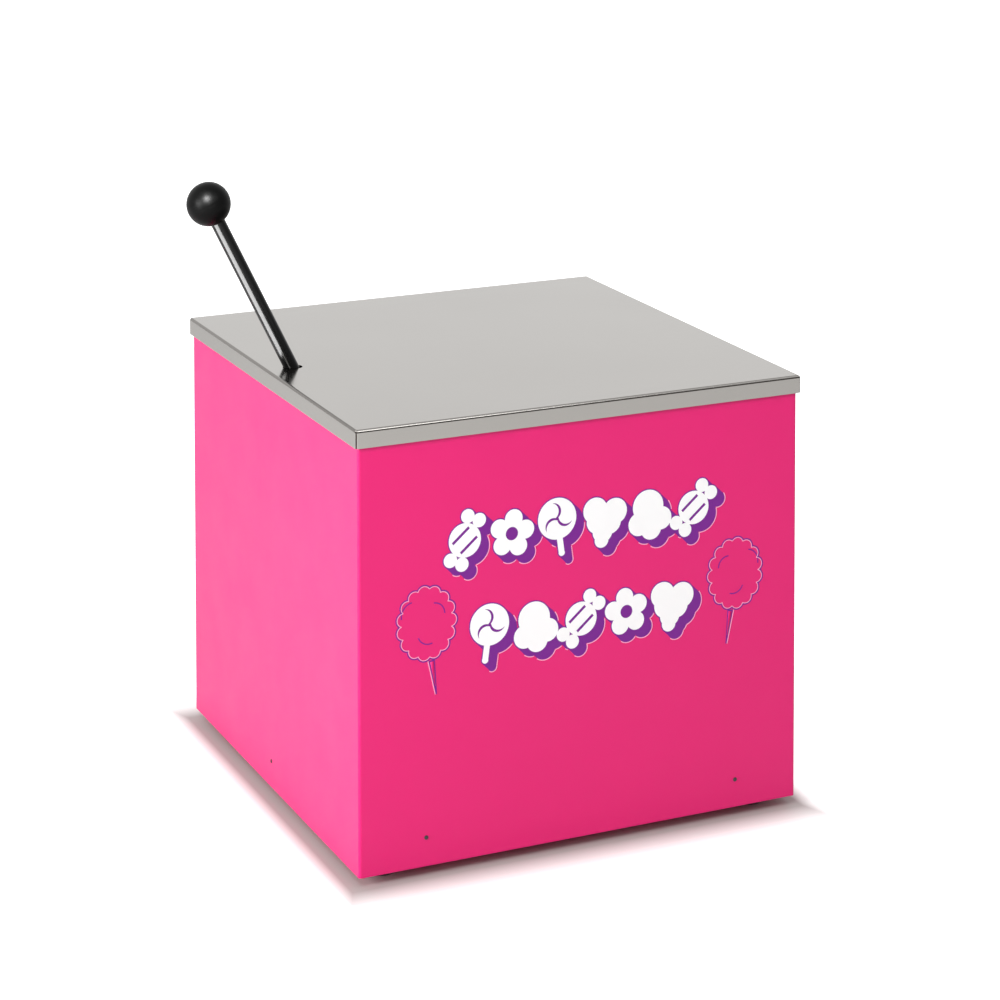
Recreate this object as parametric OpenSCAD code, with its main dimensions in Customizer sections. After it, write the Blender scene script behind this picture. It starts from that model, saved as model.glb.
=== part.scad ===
// Cotton candy machine: a closed counter cabinet with a hinged lid, a lid latch worked by a lever, and the
// floss bowl, spinner head, motor and heat controls that it holds.
// X is to the right seen from the front, Y is to the back, Z is up.
// The origin is the centre of the base pan's underside. All sizes are in millimetres.

/* [Cabinet] */
// Width of the painted cabinet
cabinet_w = 508; // [480:2:560]
// Depth of the painted cabinet
cabinet_d = 520; // [500:2:580]
// Height of the closed lid above the base pan's underside
lid_top = 463; // [455:1:500]
// Thickness of the painted sheet steel
sheet = 1.5; // [1.2:0.1:2]
// Outside radius of the cabinet's upright corners
corner_r = 3; // [2.5:0.5:6]
// Height of the rubber feet
foot_h = 12; // [8:1:20]

/* [Lid] */
// Thickness of the stainless lid
lid_t = 1.2; // [1:0.1:1.5]
// How far the lid stands out past each side of the cabinet
overhang = 3.5; // [3:0.1:5]
// Height of the lid's folded skirt
skirt_h = 19; // [17:0.5:22]
// Outside bend radius along the lid's top edges
bend_r = 3; // [2:0.5:4]

/* [Lever] */
// Distance from the cabinet's left wall to the lever's pivot
pivot_inset = 29; // [27:1:33]
// Depth of the lever's pivot below the lid's top
pivot_drop = 7; // [6.5:0.1:8]
// Diameter of the lever rod
rod_d = 15.9; // [14:0.1:17]
// Distance from the pivot to the centre of the ball
lever_reach = 217; // [150:1:260]
// Diameter of the ball knob
ball_d = 47.6; // [35:0.1:55]
// Outward lean of the lever at rest, in degrees from upright
lever_lean = 26.5; // [20:0.5:28]

/* [Floss bowl and spinner] */
// Radius of the floss bowl's wall
bowl_r = 232; // [200:1:234]
// Height of the deck plate's top
deck_z = 262; // [255:1:280]
// Height of the bowl's rim
bowl_rim_z = 421; // [400:1:425]
// Radius of the spinner head
head_r = 70; // [55:1:80]
// Height of the underside of the spinner head
head_z = 318; // [310:1:330]
// Number of slots in the heater band
band_slots = 48; // [24:4:60]

/* [Motor] */
// Radius of the motor housing
motor_r = 55; // [48:1:60]
// Height of the motor's mounting plate
motor_plate_z = 218; // [205:1:220]
// Length of the motor housing
motor_len = 118; // [100:1:125]
// Diameter of the motor shaft
shaft_d = 12; // [10:0.5:14]
// Number of fan blades
fan_blades = 7; // [5:1:9]

/* [Rear panel] */
// Height of the row of controls
control_z = 205; // [190:1:215]
// Number of louvres in each group
louvre_count = 5; // [3:1:6]
// Diameter of the heat control knob
knob_d = 38; // [30:1:44]
// Diameter of the power cord
cord_d = 9; // [7:0.5:10]

/* [Front graphic] */
// Distance between neighbouring sweets in a row
sweet_pitch = 53; // [50:0.5:56]
// Sideways and downward length of the drop shadow
shadow = 8; // [4:0.5:9]
// Width of the printed outline
outline = 1.2; // [0.8:0.1:2]
// Thickness of one printed layer
film = 0.15; // [0.1:0.05:0.3]

/* [Hidden] */
$fn = 64;

// Gaps that let parts move, seat or go together
run_gap = 0.05;
seat_gap = 0.01;
slip_gap = 0.2;

// Cabinet
half_w = cabinet_w / 2;
half_d = cabinet_d / 2;
inner_w = cabinet_w - 2 * sheet;
inner_d = cabinet_d - 2 * sheet;
inner_r = corner_r - sheet;
bumper_gap = 0.2;
bumper_h = 1.6;
wall_top = lid_top - lid_t - bumper_gap - bumper_h;
rim_flange_w = 14;
pan_flange_h = 45;
foot_r = 19;
foot_inset = 38;
cart_hole_x = 150;
cart_hole_y = 170;
cart_hole_r = 4.5;

// Lid
lid_w = cabinet_w + 2 * overhang;
lid_d = cabinet_d + 2 * overhang;
lid_under = lid_top - lid_t;
skirt_z = lid_top - skirt_h;
mitre_gap = 0.6;

// Hinge on the right side
knuckle_r = 4;
knuckle_len = 20;
knuckle_gap = 0.4;
hinge_pin_r = 2;
leaf_t = 1.5;
hinge_x = half_w + overhang + knuckle_r;
hinge_z = skirt_z - knuckle_r;
hinge_ys = [-190, 190];
hinge_len = 3 * knuckle_len;
leaf_drop = 36;

// Latch
pivot_x = -half_w + pivot_inset;
pivot_z = lid_top - pivot_drop;
latch_shaft_r = 3;
latch_shaft_len = 344;
hook_y = 150;
hook_t = 4;
hook_arm = 29;
hook_reach = 19;
toe_h = 6.5;
strike_gap = 0.5;
strike_t = 2;
strike_w = 14;
strike_len = 30;
strike_top = pivot_z - hook_arm + toe_h + strike_gap + strike_t;
bracket_t = 3;
bracket_w = 14;
tab_len = 12;
tab_t = 1.5;
bracket_ys = [-165, -25, 25, 165];
rod_r = rod_d / 2;
rod_tail = 14;
ball_r = ball_d / 2;
stud_r = 5;
stud_len = 20;
ball_flat_r = rod_r + 0.6;
ball_flat = sqrt(ball_r * ball_r - ball_flat_r * ball_flat_r);
slot_clear = 0.8;

// Inside
deck_t = 2;
bowl_t = 1.5;
bowl_corner_r = 60;
bowl_hole_r = 32;
bowl_rim_r = 4;
shaft_r = shaft_d / 2;
shaft_bottom = 68;
plate_t = 4;
isolator_r = 10;
isolator_ring = 75;
can_t = 3;
motor_bottom = motor_plate_z - motor_len;
bearing_r = 14;
bearing_h = 8;
stack_h = 70;
stack_z = motor_bottom + 20;
ring_hub_r = 16;
ring_r = 20;
ring_h = 7;
ring_z = motor_plate_z + 12;
ring_step = 13;
brush_gap = 0.1;
brush_size = 6;
band_h = 28;
band_t = 2;
band_z = head_z + plate_t;
post_ring = head_r - 16;
post_r = 3;

terminal_x = 140;
terminal_y = -100;
terminal_step = 16;
lead_r = 1.8;
controller_x = -150;
controller_y = -90;
controller_w = 120;
controller_d = 90;

// Fasteners
rivet_r = 1.4;
rivet_head_r = 2.2;
rivet_head_h = 0.9;
screw_r = 2;
screw_head_r = 4;
screw_head_h = 2.4;
rivet_front_x = 180;
rivet_z = 30;

// Rear
rear_y = half_d + sheet;
panel_w = cabinet_w - 20;
panel_z0 = 12;
panel_z1 = 430;
frame_w = 24;
louvre_w = 150;
louvre_step = 17;
louvre_depth = 6;
louvre_rise = 9;
louvre_x = 120;
louvre_z = 50;
breaker_x = 165;
meter_x = 95;
knob_x = 15;
heat_switch_x = -62;
power_switch_x = -112;
lamp_x = -160;
rocker_r = 11.2;
rocker_w = 11;
rocker_tilt = 10;
case_w = 15;
case_h = 26;
case_depth = 28;
meter_size = 60;
meter_barrel_r = 25;
needle_start = 45;
knob_start = 135;
cord_r = cord_d / 2;
coil_r = 40;
coil_x = 60;
coil_z = 355;
coil_turns = 3;
coil_step = cord_d + 0.6;
cord_break = 0.1;
cleat_foot = 14;
cleat_foot_t = 3;
coil_y = rear_y + cleat_foot + cord_r;
last_y = coil_y + (coil_turns - 1) * coil_step;
turn_r = 22;
tail_x = 128;
relief_x = 215;
relief_z = 90;

// Moves

// Copies to the four points at plus and minus x and y
module at_four(x, y) {
  for (sx = [-1, 1], sy = [-1, 1])
    translate([sx * x, sy * y, 0]) children();
}

// Turns a shape drawn up the Z axis so that it points along X
module along_x() {
  rotate([0, 90, 0]) children();
}

// Turns a shape drawn up the Z axis so that it points to the back
module along_y() {
  rotate([-90, 0, 0]) children();
}

// Draws on the cabinet's front: local x right, local y up, local z out
module on_front() {
  translate([0, -half_d, 0]) rotate([90, 0, 0]) children();
}

// Draws on the rear panel at a point: local y up, local z out
module on_rear(x, z) {
  translate([x, rear_y, z]) rotate([90, 0, 180]) children();
}

// Stands a flat XZ profile up, centred on Y with thickness t
module upright(t) {
  translate([0, t / 2, 0]) rotate([90, 0, 0]) linear_extrude(t) children();
}

// Leans a shape about the lever's pivot into its rest position
module at_lever() {
  translate([pivot_x, 0, pivot_z]) rotate([0, -lever_lean, 0]) children();
}

// Flat rectangle with round corners, centred
module round_rect(w, d, r) {
  square([w - 2 * r, d], center = true);
  square([w, d - 2 * r], center = true);
  at_four_flat(w / 2 - r, d / 2 - r) circle(r);
}

module at_four_flat(x, y) {
  for (sx = [-1, 1], sy = [-1, 1])
    translate([sx * x, sy * y]) children();
}

// Ring of a given height
module tube(r_out, r_in, h) {
  difference() {
    cylinder(r = r_out, h = h);
    translate([0, 0, -1]) cylinder(r = r_in, h = h + 2);
  }
}

// Box with round upright corners and round top edges, base at z = 0
module soft_top_box(w, d, h, r) {
  linear_extrude(h - r) round_rect(w, d, r);
  linear_extrude(h) square([w - 2 * r, d - 2 * r], center = true);
  for (s = [-1, 1]) {
    translate([-(w / 2 - r), s * (d / 2 - r), h - r]) along_x() cylinder(r = r, h = w - 2 * r);
    translate([s * (w / 2 - r), -(d / 2 - r), h - r]) along_y() cylinder(r = r, h = d - 2 * r);
  }
  at_four(w / 2 - r, d / 2 - r) translate([0, 0, h - r]) sphere(r);
}

// Fasteners, drawn with the head's seat at z = 0 and the head up

module rivet(grip) {
  translate([0, 0, -grip]) cylinder(r = rivet_r, h = grip + rivet_head_h / 2);
  cylinder(r = rivet_head_r, h = rivet_head_h / 2);
  translate([0, 0, rivet_head_h / 2])
    cylinder(r1 = rivet_head_r, r2 = rivet_head_r / 2, h = rivet_head_h / 2);
}

module pan_screw(grip) {
  translate([0, 0, -grip]) cylinder(r = screw_r, h = grip);
  difference() {
    cylinder(r = screw_head_r, h = screw_head_h);
    for (a = [0, 90])
      rotate(a) translate([-2, -0.5, screw_head_h - 1.2]) cube([4, 1, 2]);
  }
}

// Where the fasteners go

module at_front_rivets() {
  for (s = [-1, 1])
    translate([s * rivet_front_x, -half_d, rivet_z]) rotate([90, 0, 0]) children();
}

module at_side_rivets() {
  for (s = [-1, 1])
    translate([s * half_w, 0, rivet_z - 1]) rotate([0, s * 90, 0]) children();
}

module at_back_rivets() {
  for (s = [-1, 1])
    translate([s * (half_w - frame_w / 4), half_d, rivet_z - 20]) rotate([-90, 0, 0]) children();
}

module at_panel_screws() {
  for (s = [-1, 1], z = [40, 160, 290, 410])
    on_rear(s * (panel_w / 2 - 8), z) children();
}

module at_cleat_screws() {
  for (s = [-1, 1])
    on_rear(s * coil_x, coil_z) children();
}

module at_deck_screws() {
  for (s = [-1, 1], y = [-200, 0, 200])
    translate([s * (inner_w / 2 - 14), y, deck_z]) children();
}

module at_bowl_screws() {
  for (i = [0:3])
    rotate(45 + 90 * i) translate([120, 0, deck_z + bowl_t]) children();
}

module at_isolators() {
  for (i = [0:3])
    rotate(45 + 90 * i) translate([isolator_ring, 0, 0]) children();
}

module at_leaf_rivets(z) {
  for (y = hinge_ys, dy = [-22, 0, 22])
    translate([0, y + dy, z]) along_x() children();
}

// Cabinet

module cabinet() {
  color("deeppink") difference() {
    union() {
      linear_extrude(wall_top) difference() {
        round_rect(cabinet_w, cabinet_d, corner_r);
        round_rect(inner_w, inner_d, inner_r);
      }
      translate([0, 0, wall_top - sheet]) linear_extrude(sheet) difference() {
        round_rect(cabinet_w, cabinet_d, corner_r);
        round_rect(cabinet_w - 2 * rim_flange_w, cabinet_d - 2 * rim_flange_w, corner_r);
      }
    }
    translate([-half_w + frame_w, half_d - 3, panel_z0 + 14])
      cube([cabinet_w - 2 * frame_w, 6, panel_z1 - panel_z0 - 28]);
    at_front_rivets() rivet_hole();
    at_side_rivets() rivet_hole();
    at_back_rivets() rivet_hole();
    at_panel_screws() screw_hole();
    translate([half_w, 0, 0]) at_leaf_rivets(hinge_z - leaf_drop / 2) rivet_hole();
  }
}

module rivet_hole() {
  translate([0, 0, -6]) cylinder(r = rivet_r + run_gap, h = 12);
}

module screw_hole() {
  translate([0, 0, -12]) cylinder(r = screw_r + run_gap, h = 24);
}

module base_pan() {
  w = inner_w - slip_gap;
  d = inner_d - slip_gap;
  color("deeppink") difference() {
    linear_extrude(pan_flange_h) round_rect(w, d, inner_r);
    translate([0, 0, sheet]) linear_extrude(pan_flange_h)
      round_rect(w - 2 * sheet, d - 2 * sheet, inner_r / 2);
    at_four(cart_hole_x, cart_hole_y) translate([0, 0, -1]) cylinder(r = cart_hole_r, h = 4);
    at_feet() translate([0, 0, -1]) cylinder(r = screw_r + run_gap, h = 4);
    at_front_rivets() rivet_hole();
    at_side_rivets() rivet_hole();
    at_back_rivets() rivet_hole();
    at_panel_screws() screw_hole();
  }
}

module at_feet() {
  at_four(half_w - foot_inset, half_d - foot_inset) children();
}

module feet() {
  color("dimgray") at_feet() difference() {
    translate([0, 0, -foot_h]) cylinder(r1 = foot_r - 3, r2 = foot_r, h = foot_h);
    translate([0, 0, -foot_h - 1]) cylinder(r = screw_head_r + 1.5, h = foot_h - 3);
    translate([0, 0, -foot_h - 1]) cylinder(r = screw_r + run_gap, h = foot_h + 2);
  }
}

module foot_screws() {
  color("silver") at_feet() translate([0, 0, -4]) mirror([0, 0, 1]) pan_screw(10);
}

module deck_angles() {
  leg = 24;
  run = inner_d - 40;
  color("silver") for (s = [-1, 1]) difference() {
    translate([s * inner_w / 2, 0, deck_z - deck_t]) union() {
      translate([s > 0 ? -leg : 0, -run / 2, -deck_t]) cube([leg, run, deck_t]);
      translate([s > 0 ? -deck_t : 0, -run / 2, -leg]) cube([deck_t, run, leg]);
    }
    at_deck_screws() screw_hole();
  }
}

module deck_plate() {
  color("silver") difference() {
    translate([0, 0, deck_z - deck_t]) linear_extrude(deck_t)
      round_rect(inner_w - 1, inner_d - 1, inner_r);
    cylinder(r = bowl_hole_r, h = lid_top);
    at_deck_screws() screw_hole();
    at_bowl_screws() screw_hole();
  }
}

module latch_strikes() {
  color("silver") for (s = [-1, 1])
    translate([-inner_w / 2, s * hook_y - strike_len / 2, strike_top]) {
      translate([0, 0, -strike_t]) cube([strike_w, strike_len, strike_t]);
      translate([0, 0, -20]) cube([strike_t, strike_len, 30]);
    }
}

module lid_bumpers() {
  color("black") at_four(half_w - rim_flange_w / 2, half_d - 60)
    translate([0, 0, wall_top]) cylinder(r = 4.5, h = bumper_h);
}

module cabinet_rivets() {
  color("dimgray") {
    at_front_rivets() rivet(5);
    at_side_rivets() rivet(5);
    at_back_rivets() rivet(5);
    translate([half_w + leaf_t, 0, 0]) at_leaf_rivets(hinge_z - leaf_drop / 2) rivet(5);
  }
}

module panel_screws() {
  color("silver") {
    at_panel_screws() pan_screw(8);
    at_cleat_screws() translate([0, 0, cleat_foot_t]) pan_screw(8);
    at_deck_screws() pan_screw(8);
    at_bowl_screws() pan_screw(8);
  }
}

// Hinge

module at_knuckles(slots) {
  for (y = hinge_ys, i = slots)
    translate([hinge_x, y + (i - 1.5) * knuckle_len + knuckle_gap / 2, hinge_z]) along_y() children();
}

module hinge_cabinet_leaves() {
  len = knuckle_len - knuckle_gap;
  color("silver") difference() {
    union() {
      for (y = hinge_ys)
        translate([half_w, y - hinge_len / 2, hinge_z - leaf_drop])
          cube([leaf_t, hinge_len, leaf_drop - knuckle_r + leaf_t]);
      at_knuckles([0, 2]) cylinder(r = knuckle_r, h = len);
      for (y = hinge_ys, i = [0, 2])
        translate([half_w, y + (i - 1.5) * knuckle_len + knuckle_gap / 2, hinge_z - knuckle_r])
          cube([hinge_x - half_w, len, leaf_t]);
    }
    at_knuckles([0, 2]) translate([0, 0, -1]) cylinder(r = hinge_pin_r, h = len + 2);
    translate([half_w, 0, 0]) at_leaf_rivets(hinge_z - leaf_drop / 2) rivet_hole();
  }
}

module hinge_lid_leaves() {
  len = knuckle_len - knuckle_gap;
  skirt_x = half_w + overhang;
  color("silver") difference() {
    union() {
      for (y = hinge_ys)
        translate([skirt_x, y - hinge_len / 2, skirt_z + 0.5])
          cube([leaf_t, hinge_len, skirt_h - bend_r - 0.5]);
      at_knuckles([1]) cylinder(r = knuckle_r, h = len);
      for (y = hinge_ys)
        translate([skirt_x, y - len / 2, hinge_z]) cube([leaf_t, len, knuckle_r + 1]);
    }
    at_knuckles([1]) translate([0, 0, -1]) cylinder(r = hinge_pin_r + run_gap, h = len + 2);
    translate([skirt_x, 0, 0]) at_leaf_rivets(skirt_z + 8) rivet_hole();
  }
}

module hinge_pins() {
  head_r = knuckle_r - 0.6;
  color("dimgray") for (y = hinge_ys)
    translate([hinge_x, y - hinge_len / 2 - 1.4, hinge_z]) along_y() {
      cylinder(r = hinge_pin_r, h = hinge_len + 2.8);
      for (z = [0, hinge_len + 1.6])
        translate([0, 0, z]) cylinder(r = head_r, h = 1.2);
    }
}

// Lid and latch

module lid() {
  color("lightgray") difference() {
    translate([0, 0, skirt_z]) soft_top_box(lid_w, lid_d, skirt_h, bend_r);
    translate([0, 0, skirt_z - 1])
      soft_top_box(lid_w - 2 * lid_t, lid_d - 2 * lid_t, skirt_h + 1 - lid_t, bend_r - lid_t);
    lever_slot();
    for (i = [0:3]) mitre(i);
    translate([half_w + overhang, 0, 0]) at_leaf_rivets(skirt_z + 8) rivet_hole();
  }
}

// Open seam where two skirt flanges meet at a corner
module mitre(i) {
  sx = i % 2 == 0 ? -1 : 1;
  sy = i < 2 ? -1 : 1;
  translate([sx * lid_w / 2, sy * lid_d / 2, skirt_z - 1])
    rotate(45 * sx * sy)
      translate([-5, -mitre_gap / 2, 0]) cube([10, mitre_gap, skirt_h - bend_r]);
}

// Slot that clears the rod from its lean to upright
module lever_slot() {
  lean_left = pivot_drop * tan(lever_lean) + rod_r / cos(lever_lean) + slot_clear;
  upright_right = rod_r + slot_clear;
  end_r = rod_r + slot_clear;
  translate([pivot_x, 0, lid_under - 1]) linear_extrude(lid_t + 2) {
    translate([-lean_left + end_r, 0]) circle(end_r);
    translate([upright_right - end_r, 0]) circle(end_r);
    translate([-lean_left + end_r, -end_r]) square([lean_left + upright_right - 2 * end_r, 2 * end_r]);
  }
}

module lid_rivets() {
  grip = leaf_t + lid_t;
  color("dimgray") translate([half_w + overhang + leaf_t, 0, 0])
    at_leaf_rivets(skirt_z + 8) rivet(grip);
}

// Four hangers under the lid, each with a tab that is welded to the lid and points to the middle
module shaft_brackets() {
  color("silver") for (y = bracket_ys) translate([pivot_x, y, 0]) difference() {
    union() {
      translate([-bracket_w / 2, -bracket_t / 2, pivot_z - bracket_w / 2 - 1])
        cube([bracket_w, bracket_t, lid_under - pivot_z + bracket_w / 2 + 1]);
      translate([-bracket_w / 2, y > 0 ? bracket_t / 2 - tab_len : -bracket_t / 2, lid_under - tab_t])
        cube([bracket_w, tab_len, tab_t]);
    }
    translate([0, -bracket_t, pivot_z]) along_y()
      cylinder(r = latch_shaft_r + run_gap, h = 2 * bracket_t);
  }
}

module latch_shaft() {
  color("silver") translate([pivot_x, -latch_shaft_len / 2, pivot_z]) along_y()
    cylinder(r = latch_shaft_r, h = latch_shaft_len);
}

module latch_hooks() {
  color("silver") for (s = [-1, 1])
    translate([0, s * hook_y, 0]) at_lever() difference() {
      upright(hook_t) {
        circle(5.2);
        translate([-3, -hook_arm]) square([8, hook_arm]);
        translate([-hook_reach, -hook_arm]) square([hook_reach, toe_h]);
      }
      translate([0, -hook_t, 0]) along_y() cylinder(r = latch_shaft_r, h = 2 * hook_t);
    }
}

module lever_rod() {
  color("black") at_lever() difference() {
    union() {
      translate([0, 0, -rod_tail]) cylinder(r = rod_r, h = lever_reach - ball_flat + rod_tail);
      translate([0, 0, lever_reach - ball_flat]) cylinder(r = stud_r, h = stud_len - 1);
    }
    translate([0, -rod_d, 0]) along_y() cylinder(r = latch_shaft_r, h = 2 * rod_d);
  }
}

module lever_knob() {
  color("black") at_lever() translate([0, 0, lever_reach]) difference() {
    sphere(ball_r);
    translate([0, 0, -ball_r - ball_flat + seat_gap]) cube(2 * ball_r, center = true);
    translate([0, 0, -ball_r]) cylinder(r = stud_r + run_gap, h = stud_len + ball_r - ball_flat);
  }
}

module shaft_clips() {
  color("dimgray") for (s = [-1, 1])
    translate([pivot_x, s * (latch_shaft_len / 2 - 3) - 0.5, pivot_z]) along_y()
      tube(5.2, latch_shaft_r, 1);
}

// Floss bowl

module floss_bowl() {
  color("gainsboro") difference() {
    translate([0, 0, deck_z]) rotate_extrude($fn = 128) bowl_profile();
    at_bowl_screws() screw_hole();
  }
}

// Half section of the bowl: raised centre lip, floor, round corner, wall and rolled rim
module bowl_profile() {
  rim_h = bowl_rim_z - deck_z;
  translate([bowl_hole_r, 0]) square([bowl_r - bowl_corner_r - bowl_hole_r, bowl_t]);
  translate([bowl_hole_r, 0]) square([bowl_t, 16]);
  translate([bowl_r - bowl_corner_r, bowl_corner_r]) intersection() {
    difference() {
      circle(bowl_corner_r);
      circle(bowl_corner_r - bowl_t);
    }
    translate([0, -bowl_corner_r - 1]) square(bowl_corner_r + 1);
  }
  translate([bowl_r - bowl_t, bowl_corner_r]) square([bowl_t, rim_h - bowl_corner_r]);
  translate([bowl_r - bowl_t / 2, rim_h]) circle(bowl_rim_r);
}

// Spinner head

module spinner_base() {
  color("gainsboro") translate([0, 0, head_z]) difference() {
    rotate_extrude() {
      translate([shaft_r, -18]) square([7, 18]);
      translate([shaft_r, 0]) square([head_r - shaft_r, plate_t]);
      translate([head_r - 3, 0]) square([3, plate_t + 3]);
    }
    at_posts() translate([0, 0, -1]) cylinder(r = post_r - 1, h = plate_t + 2);
  }
}

module at_posts() {
  for (i = [0:3])
    rotate(45 + 90 * i) translate([post_ring, 0, 0]) children();
}

module heater_band() {
  slot_h = band_h - 8;
  color("goldenrod") translate([0, 0, band_z]) difference() {
    tube(head_r - 4, head_r - 4 - band_t, band_h);
    for (i = [0:band_slots - 1])
      rotate(i * 360 / band_slots) translate([head_r - 8, -0.6, 4]) cube([6, 1.2, slot_h]);
  }
}

module spinner_cap() {
  cap_z = band_z + band_h;
  color("gainsboro") translate([0, 0, cap_z]) difference() {
    rotate_extrude() {
      translate([34, 0]) square([head_r - 34, 3]);
      translate([head_r - 3, -3]) square([3, 6]);
      translate([34, 0]) square([2.5, 9]);
    }
    at_posts() translate([0, 0, -1]) cylinder(r = post_r - 1, h = 6);
  }
}

module head_posts() {
  cap_top = band_z + band_h + 3;
  color("silver") at_posts() {
    translate([0, 0, band_z]) cylinder(r = post_r, h = band_h);
    translate([0, 0, head_z]) cylinder(r = post_r - 1, h = cap_top - head_z);
    translate([0, 0, cap_top]) cylinder(r = 5, h = 4, $fn = 6);
  }
}

// Motor

module motor_shaft() {
  color("silver") translate([0, 0, shaft_bottom]) cylinder(r = shaft_r, h = head_z + plate_t - shaft_bottom);
}

module motor_rotor() {
  color("dimgray") translate([0, 0, stack_z]) difference() {
    cylinder(r = motor_r - can_t - 15, h = stack_h);
    translate([0, 0, -1]) cylinder(r = shaft_r, h = stack_h + 2);
    for (i = [0:11])
      rotate(i * 30) translate([motor_r - can_t - 20, 0, -1]) cylinder(r = 2, h = stack_h + 2);
  }
}

module motor_stator() {
  color("slategray") translate([0, 0, stack_z]) difference() {
    cylinder(r = motor_r - can_t, h = stack_h);
    translate([0, 0, -1]) cylinder(r = motor_r - can_t - 14.4, h = stack_h + 2);
    for (i = [0:17])
      rotate(i * 20) translate([motor_r - can_t - 10, 0, -1]) cylinder(r = 2.4, h = stack_h + 2);
  }
}

module motor_housing() {
  color("dimgray") difference() {
    translate([0, 0, motor_bottom]) cylinder(r = motor_r, h = motor_len);
    translate([0, 0, motor_bottom - 1]) cylinder(r = motor_r - can_t, h = motor_len - plate_t + 1);
    translate([0, 0, motor_bottom]) cylinder(r = shaft_r + 2, h = motor_len + 1);
    for (i = [0:7])
      rotate(i * 45) translate([motor_r - 6, -3, motor_plate_z - 24]) cube([10, 6, 12]);
  }
  bearing_seat(motor_plate_z - plate_t, -1);
}

// Ring that holds a bearing against a motor end
module bearing_seat(z, side) {
  color("dimgray") translate([0, 0, side < 0 ? z - bearing_h : z])
    tube(bearing_r + 3, bearing_r, bearing_h);
}

module motor_end_cap() {
  color("dimgray") {
    translate([0, 0, motor_bottom - plate_t]) difference() {
      tube(motor_r, shaft_r + 2, plate_t);
      for (i = [0:5])
        rotate(i * 60) translate([32, 0, -1]) cylinder(r = 7, h = plate_t + 2);
    }
    bearing_seat(motor_bottom, 1);
  }
}

module motor_bearings() {
  color("silver") for (z = [motor_bottom, motor_plate_z - plate_t - bearing_h])
    translate([0, 0, z]) tube(bearing_r, shaft_r + run_gap, bearing_h);
}

module motor_plate() {
  color("silver") translate([0, 0, motor_plate_z]) tube(isolator_ring + 18, ring_r + 3, plate_t);
}

module motor_isolators() {
  stand = deck_z - deck_t - motor_plate_z - plate_t - seat_gap;
  color("black") at_isolators() translate([0, 0, motor_plate_z + plate_t]) rotate_extrude() {
    square([isolator_r, 5]);
    square([isolator_r - 3, stand]);
    translate([0, stand - 5]) square([isolator_r, 5]);
  }
}

module cooling_fan() {
  hub_h = 16;
  color("black") translate([0, 0, shaft_bottom + 2]) {
    tube(13, shaft_r, hub_h);
    for (i = [0:fan_blades - 1])
      rotate(i * 360 / fan_blades) translate([12, 0, hub_h / 2]) rotate([35, 0, 0])
        translate([0, -8, -1]) cube([34, 16, 2]);
  }
}

module slip_ring_hub() {
  color("peru") translate([0, 0, ring_z - 6]) difference() {
    rotate_extrude() {
      square([ring_hub_r, 2 * ring_step + 6]);
      for (i = [0, 1])
        translate([0, 6 + i * ring_step]) square([ring_r, ring_h]);
    }
    translate([0, 0, -1]) cylinder(r = shaft_r, h = 2 * ring_step + 8);
  }
}

module brush_holder() {
  holder_x = ring_r + 6;
  slot = brush_size + 0.2;
  color("saddlebrown") translate([holder_x, 0, motor_plate_z + plate_t]) difference() {
    translate([0, -10, 0]) cube([22, 20, 33]);
    for (i = [0, 1])
      translate([-1, -slot / 2, brush_z(i) - motor_plate_z - plate_t - slot / 2]) cube([17, slot, slot]);
  }
}

// Height of a slip ring's middle
function brush_z(i) = ring_z + i * ring_step + ring_h / 2;

module brushes() {
  color("dimgray") for (i = [0, 1])
    translate([ring_r + brush_gap, -brush_size / 2, brush_z(i) - brush_size / 2])
      cube([18, brush_size, brush_size]);
}

// Electrical parts on the base pan

module heat_controller() {
  fins = 9;
  fin_t = 2.4;
  step = (controller_w - fin_t) / (fins - 1);
  color("silver") translate([controller_x - controller_w / 2, controller_y - controller_d / 2, sheet]) {
    cube([controller_w, controller_d, 5]);
    for (i = [0:fins - 1])
      translate([i * step, 0, 5]) cube([fin_t, controller_d, 22]);
    translate([0, 0, 27]) cube([controller_w, controller_d, 14]);
  }
}

module terminal_block() {
  color("ivory") translate([terminal_x, terminal_y, sheet]) difference() {
    translate([-45, -13, 0]) cube([90, 26, 22]);
    for (i = [-2:2], y = [-8, 8])
      translate([i * terminal_step, y, 16]) cylinder(r = 3, h = 10);
  }
}

// Round wire along a list of points, with a tie over each bend
module wire(points, r) {
  for (i = [0:len(points) - 2]) {
    run = points[i + 1] - points[i];
    flat = norm([run.x, run.y]);
    translate(points[i]) rotate([0, atan2(flat, run.z), atan2(run.y, run.x)])
      cylinder(r = r, h = norm(run));
    if (i > 0)
      translate(points[i]) sphere(r * 1.2);
  }
}

// One lead from each control to its own terminal, and the heater lead up to the brush holder
module wiring() {
  controls = [breaker_x, meter_x, knob_x, heat_switch_x, power_switch_x];
  backs = [24, 36, 26, 38, 38];
  lead_x = controller_x + controller_w / 2 + 0.1;
  color("black") {
    for (i = [0:4]) {
      level = 40 + 9 * i;
      y = half_d - 60 - 9 * i;
      x = terminal_x + (2 - i) * terminal_step;
      wire([[x, terminal_y + 8, sheet + 18], [x, terminal_y + 8, level], [x, y, level],
        [controls[i], y, level], [controls[i], y, control_z], [controls[i], rear_y - backs[i], control_z]],
        lead_r);
    }
    wire([[lead_x, controller_y, 36], [90, controller_y, 36], [90, controller_y, 232], [90, 0, 232],
      [ring_r + 28.2, 0, 232]], lead_r);
  }
}

// Rear panel and controls

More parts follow.
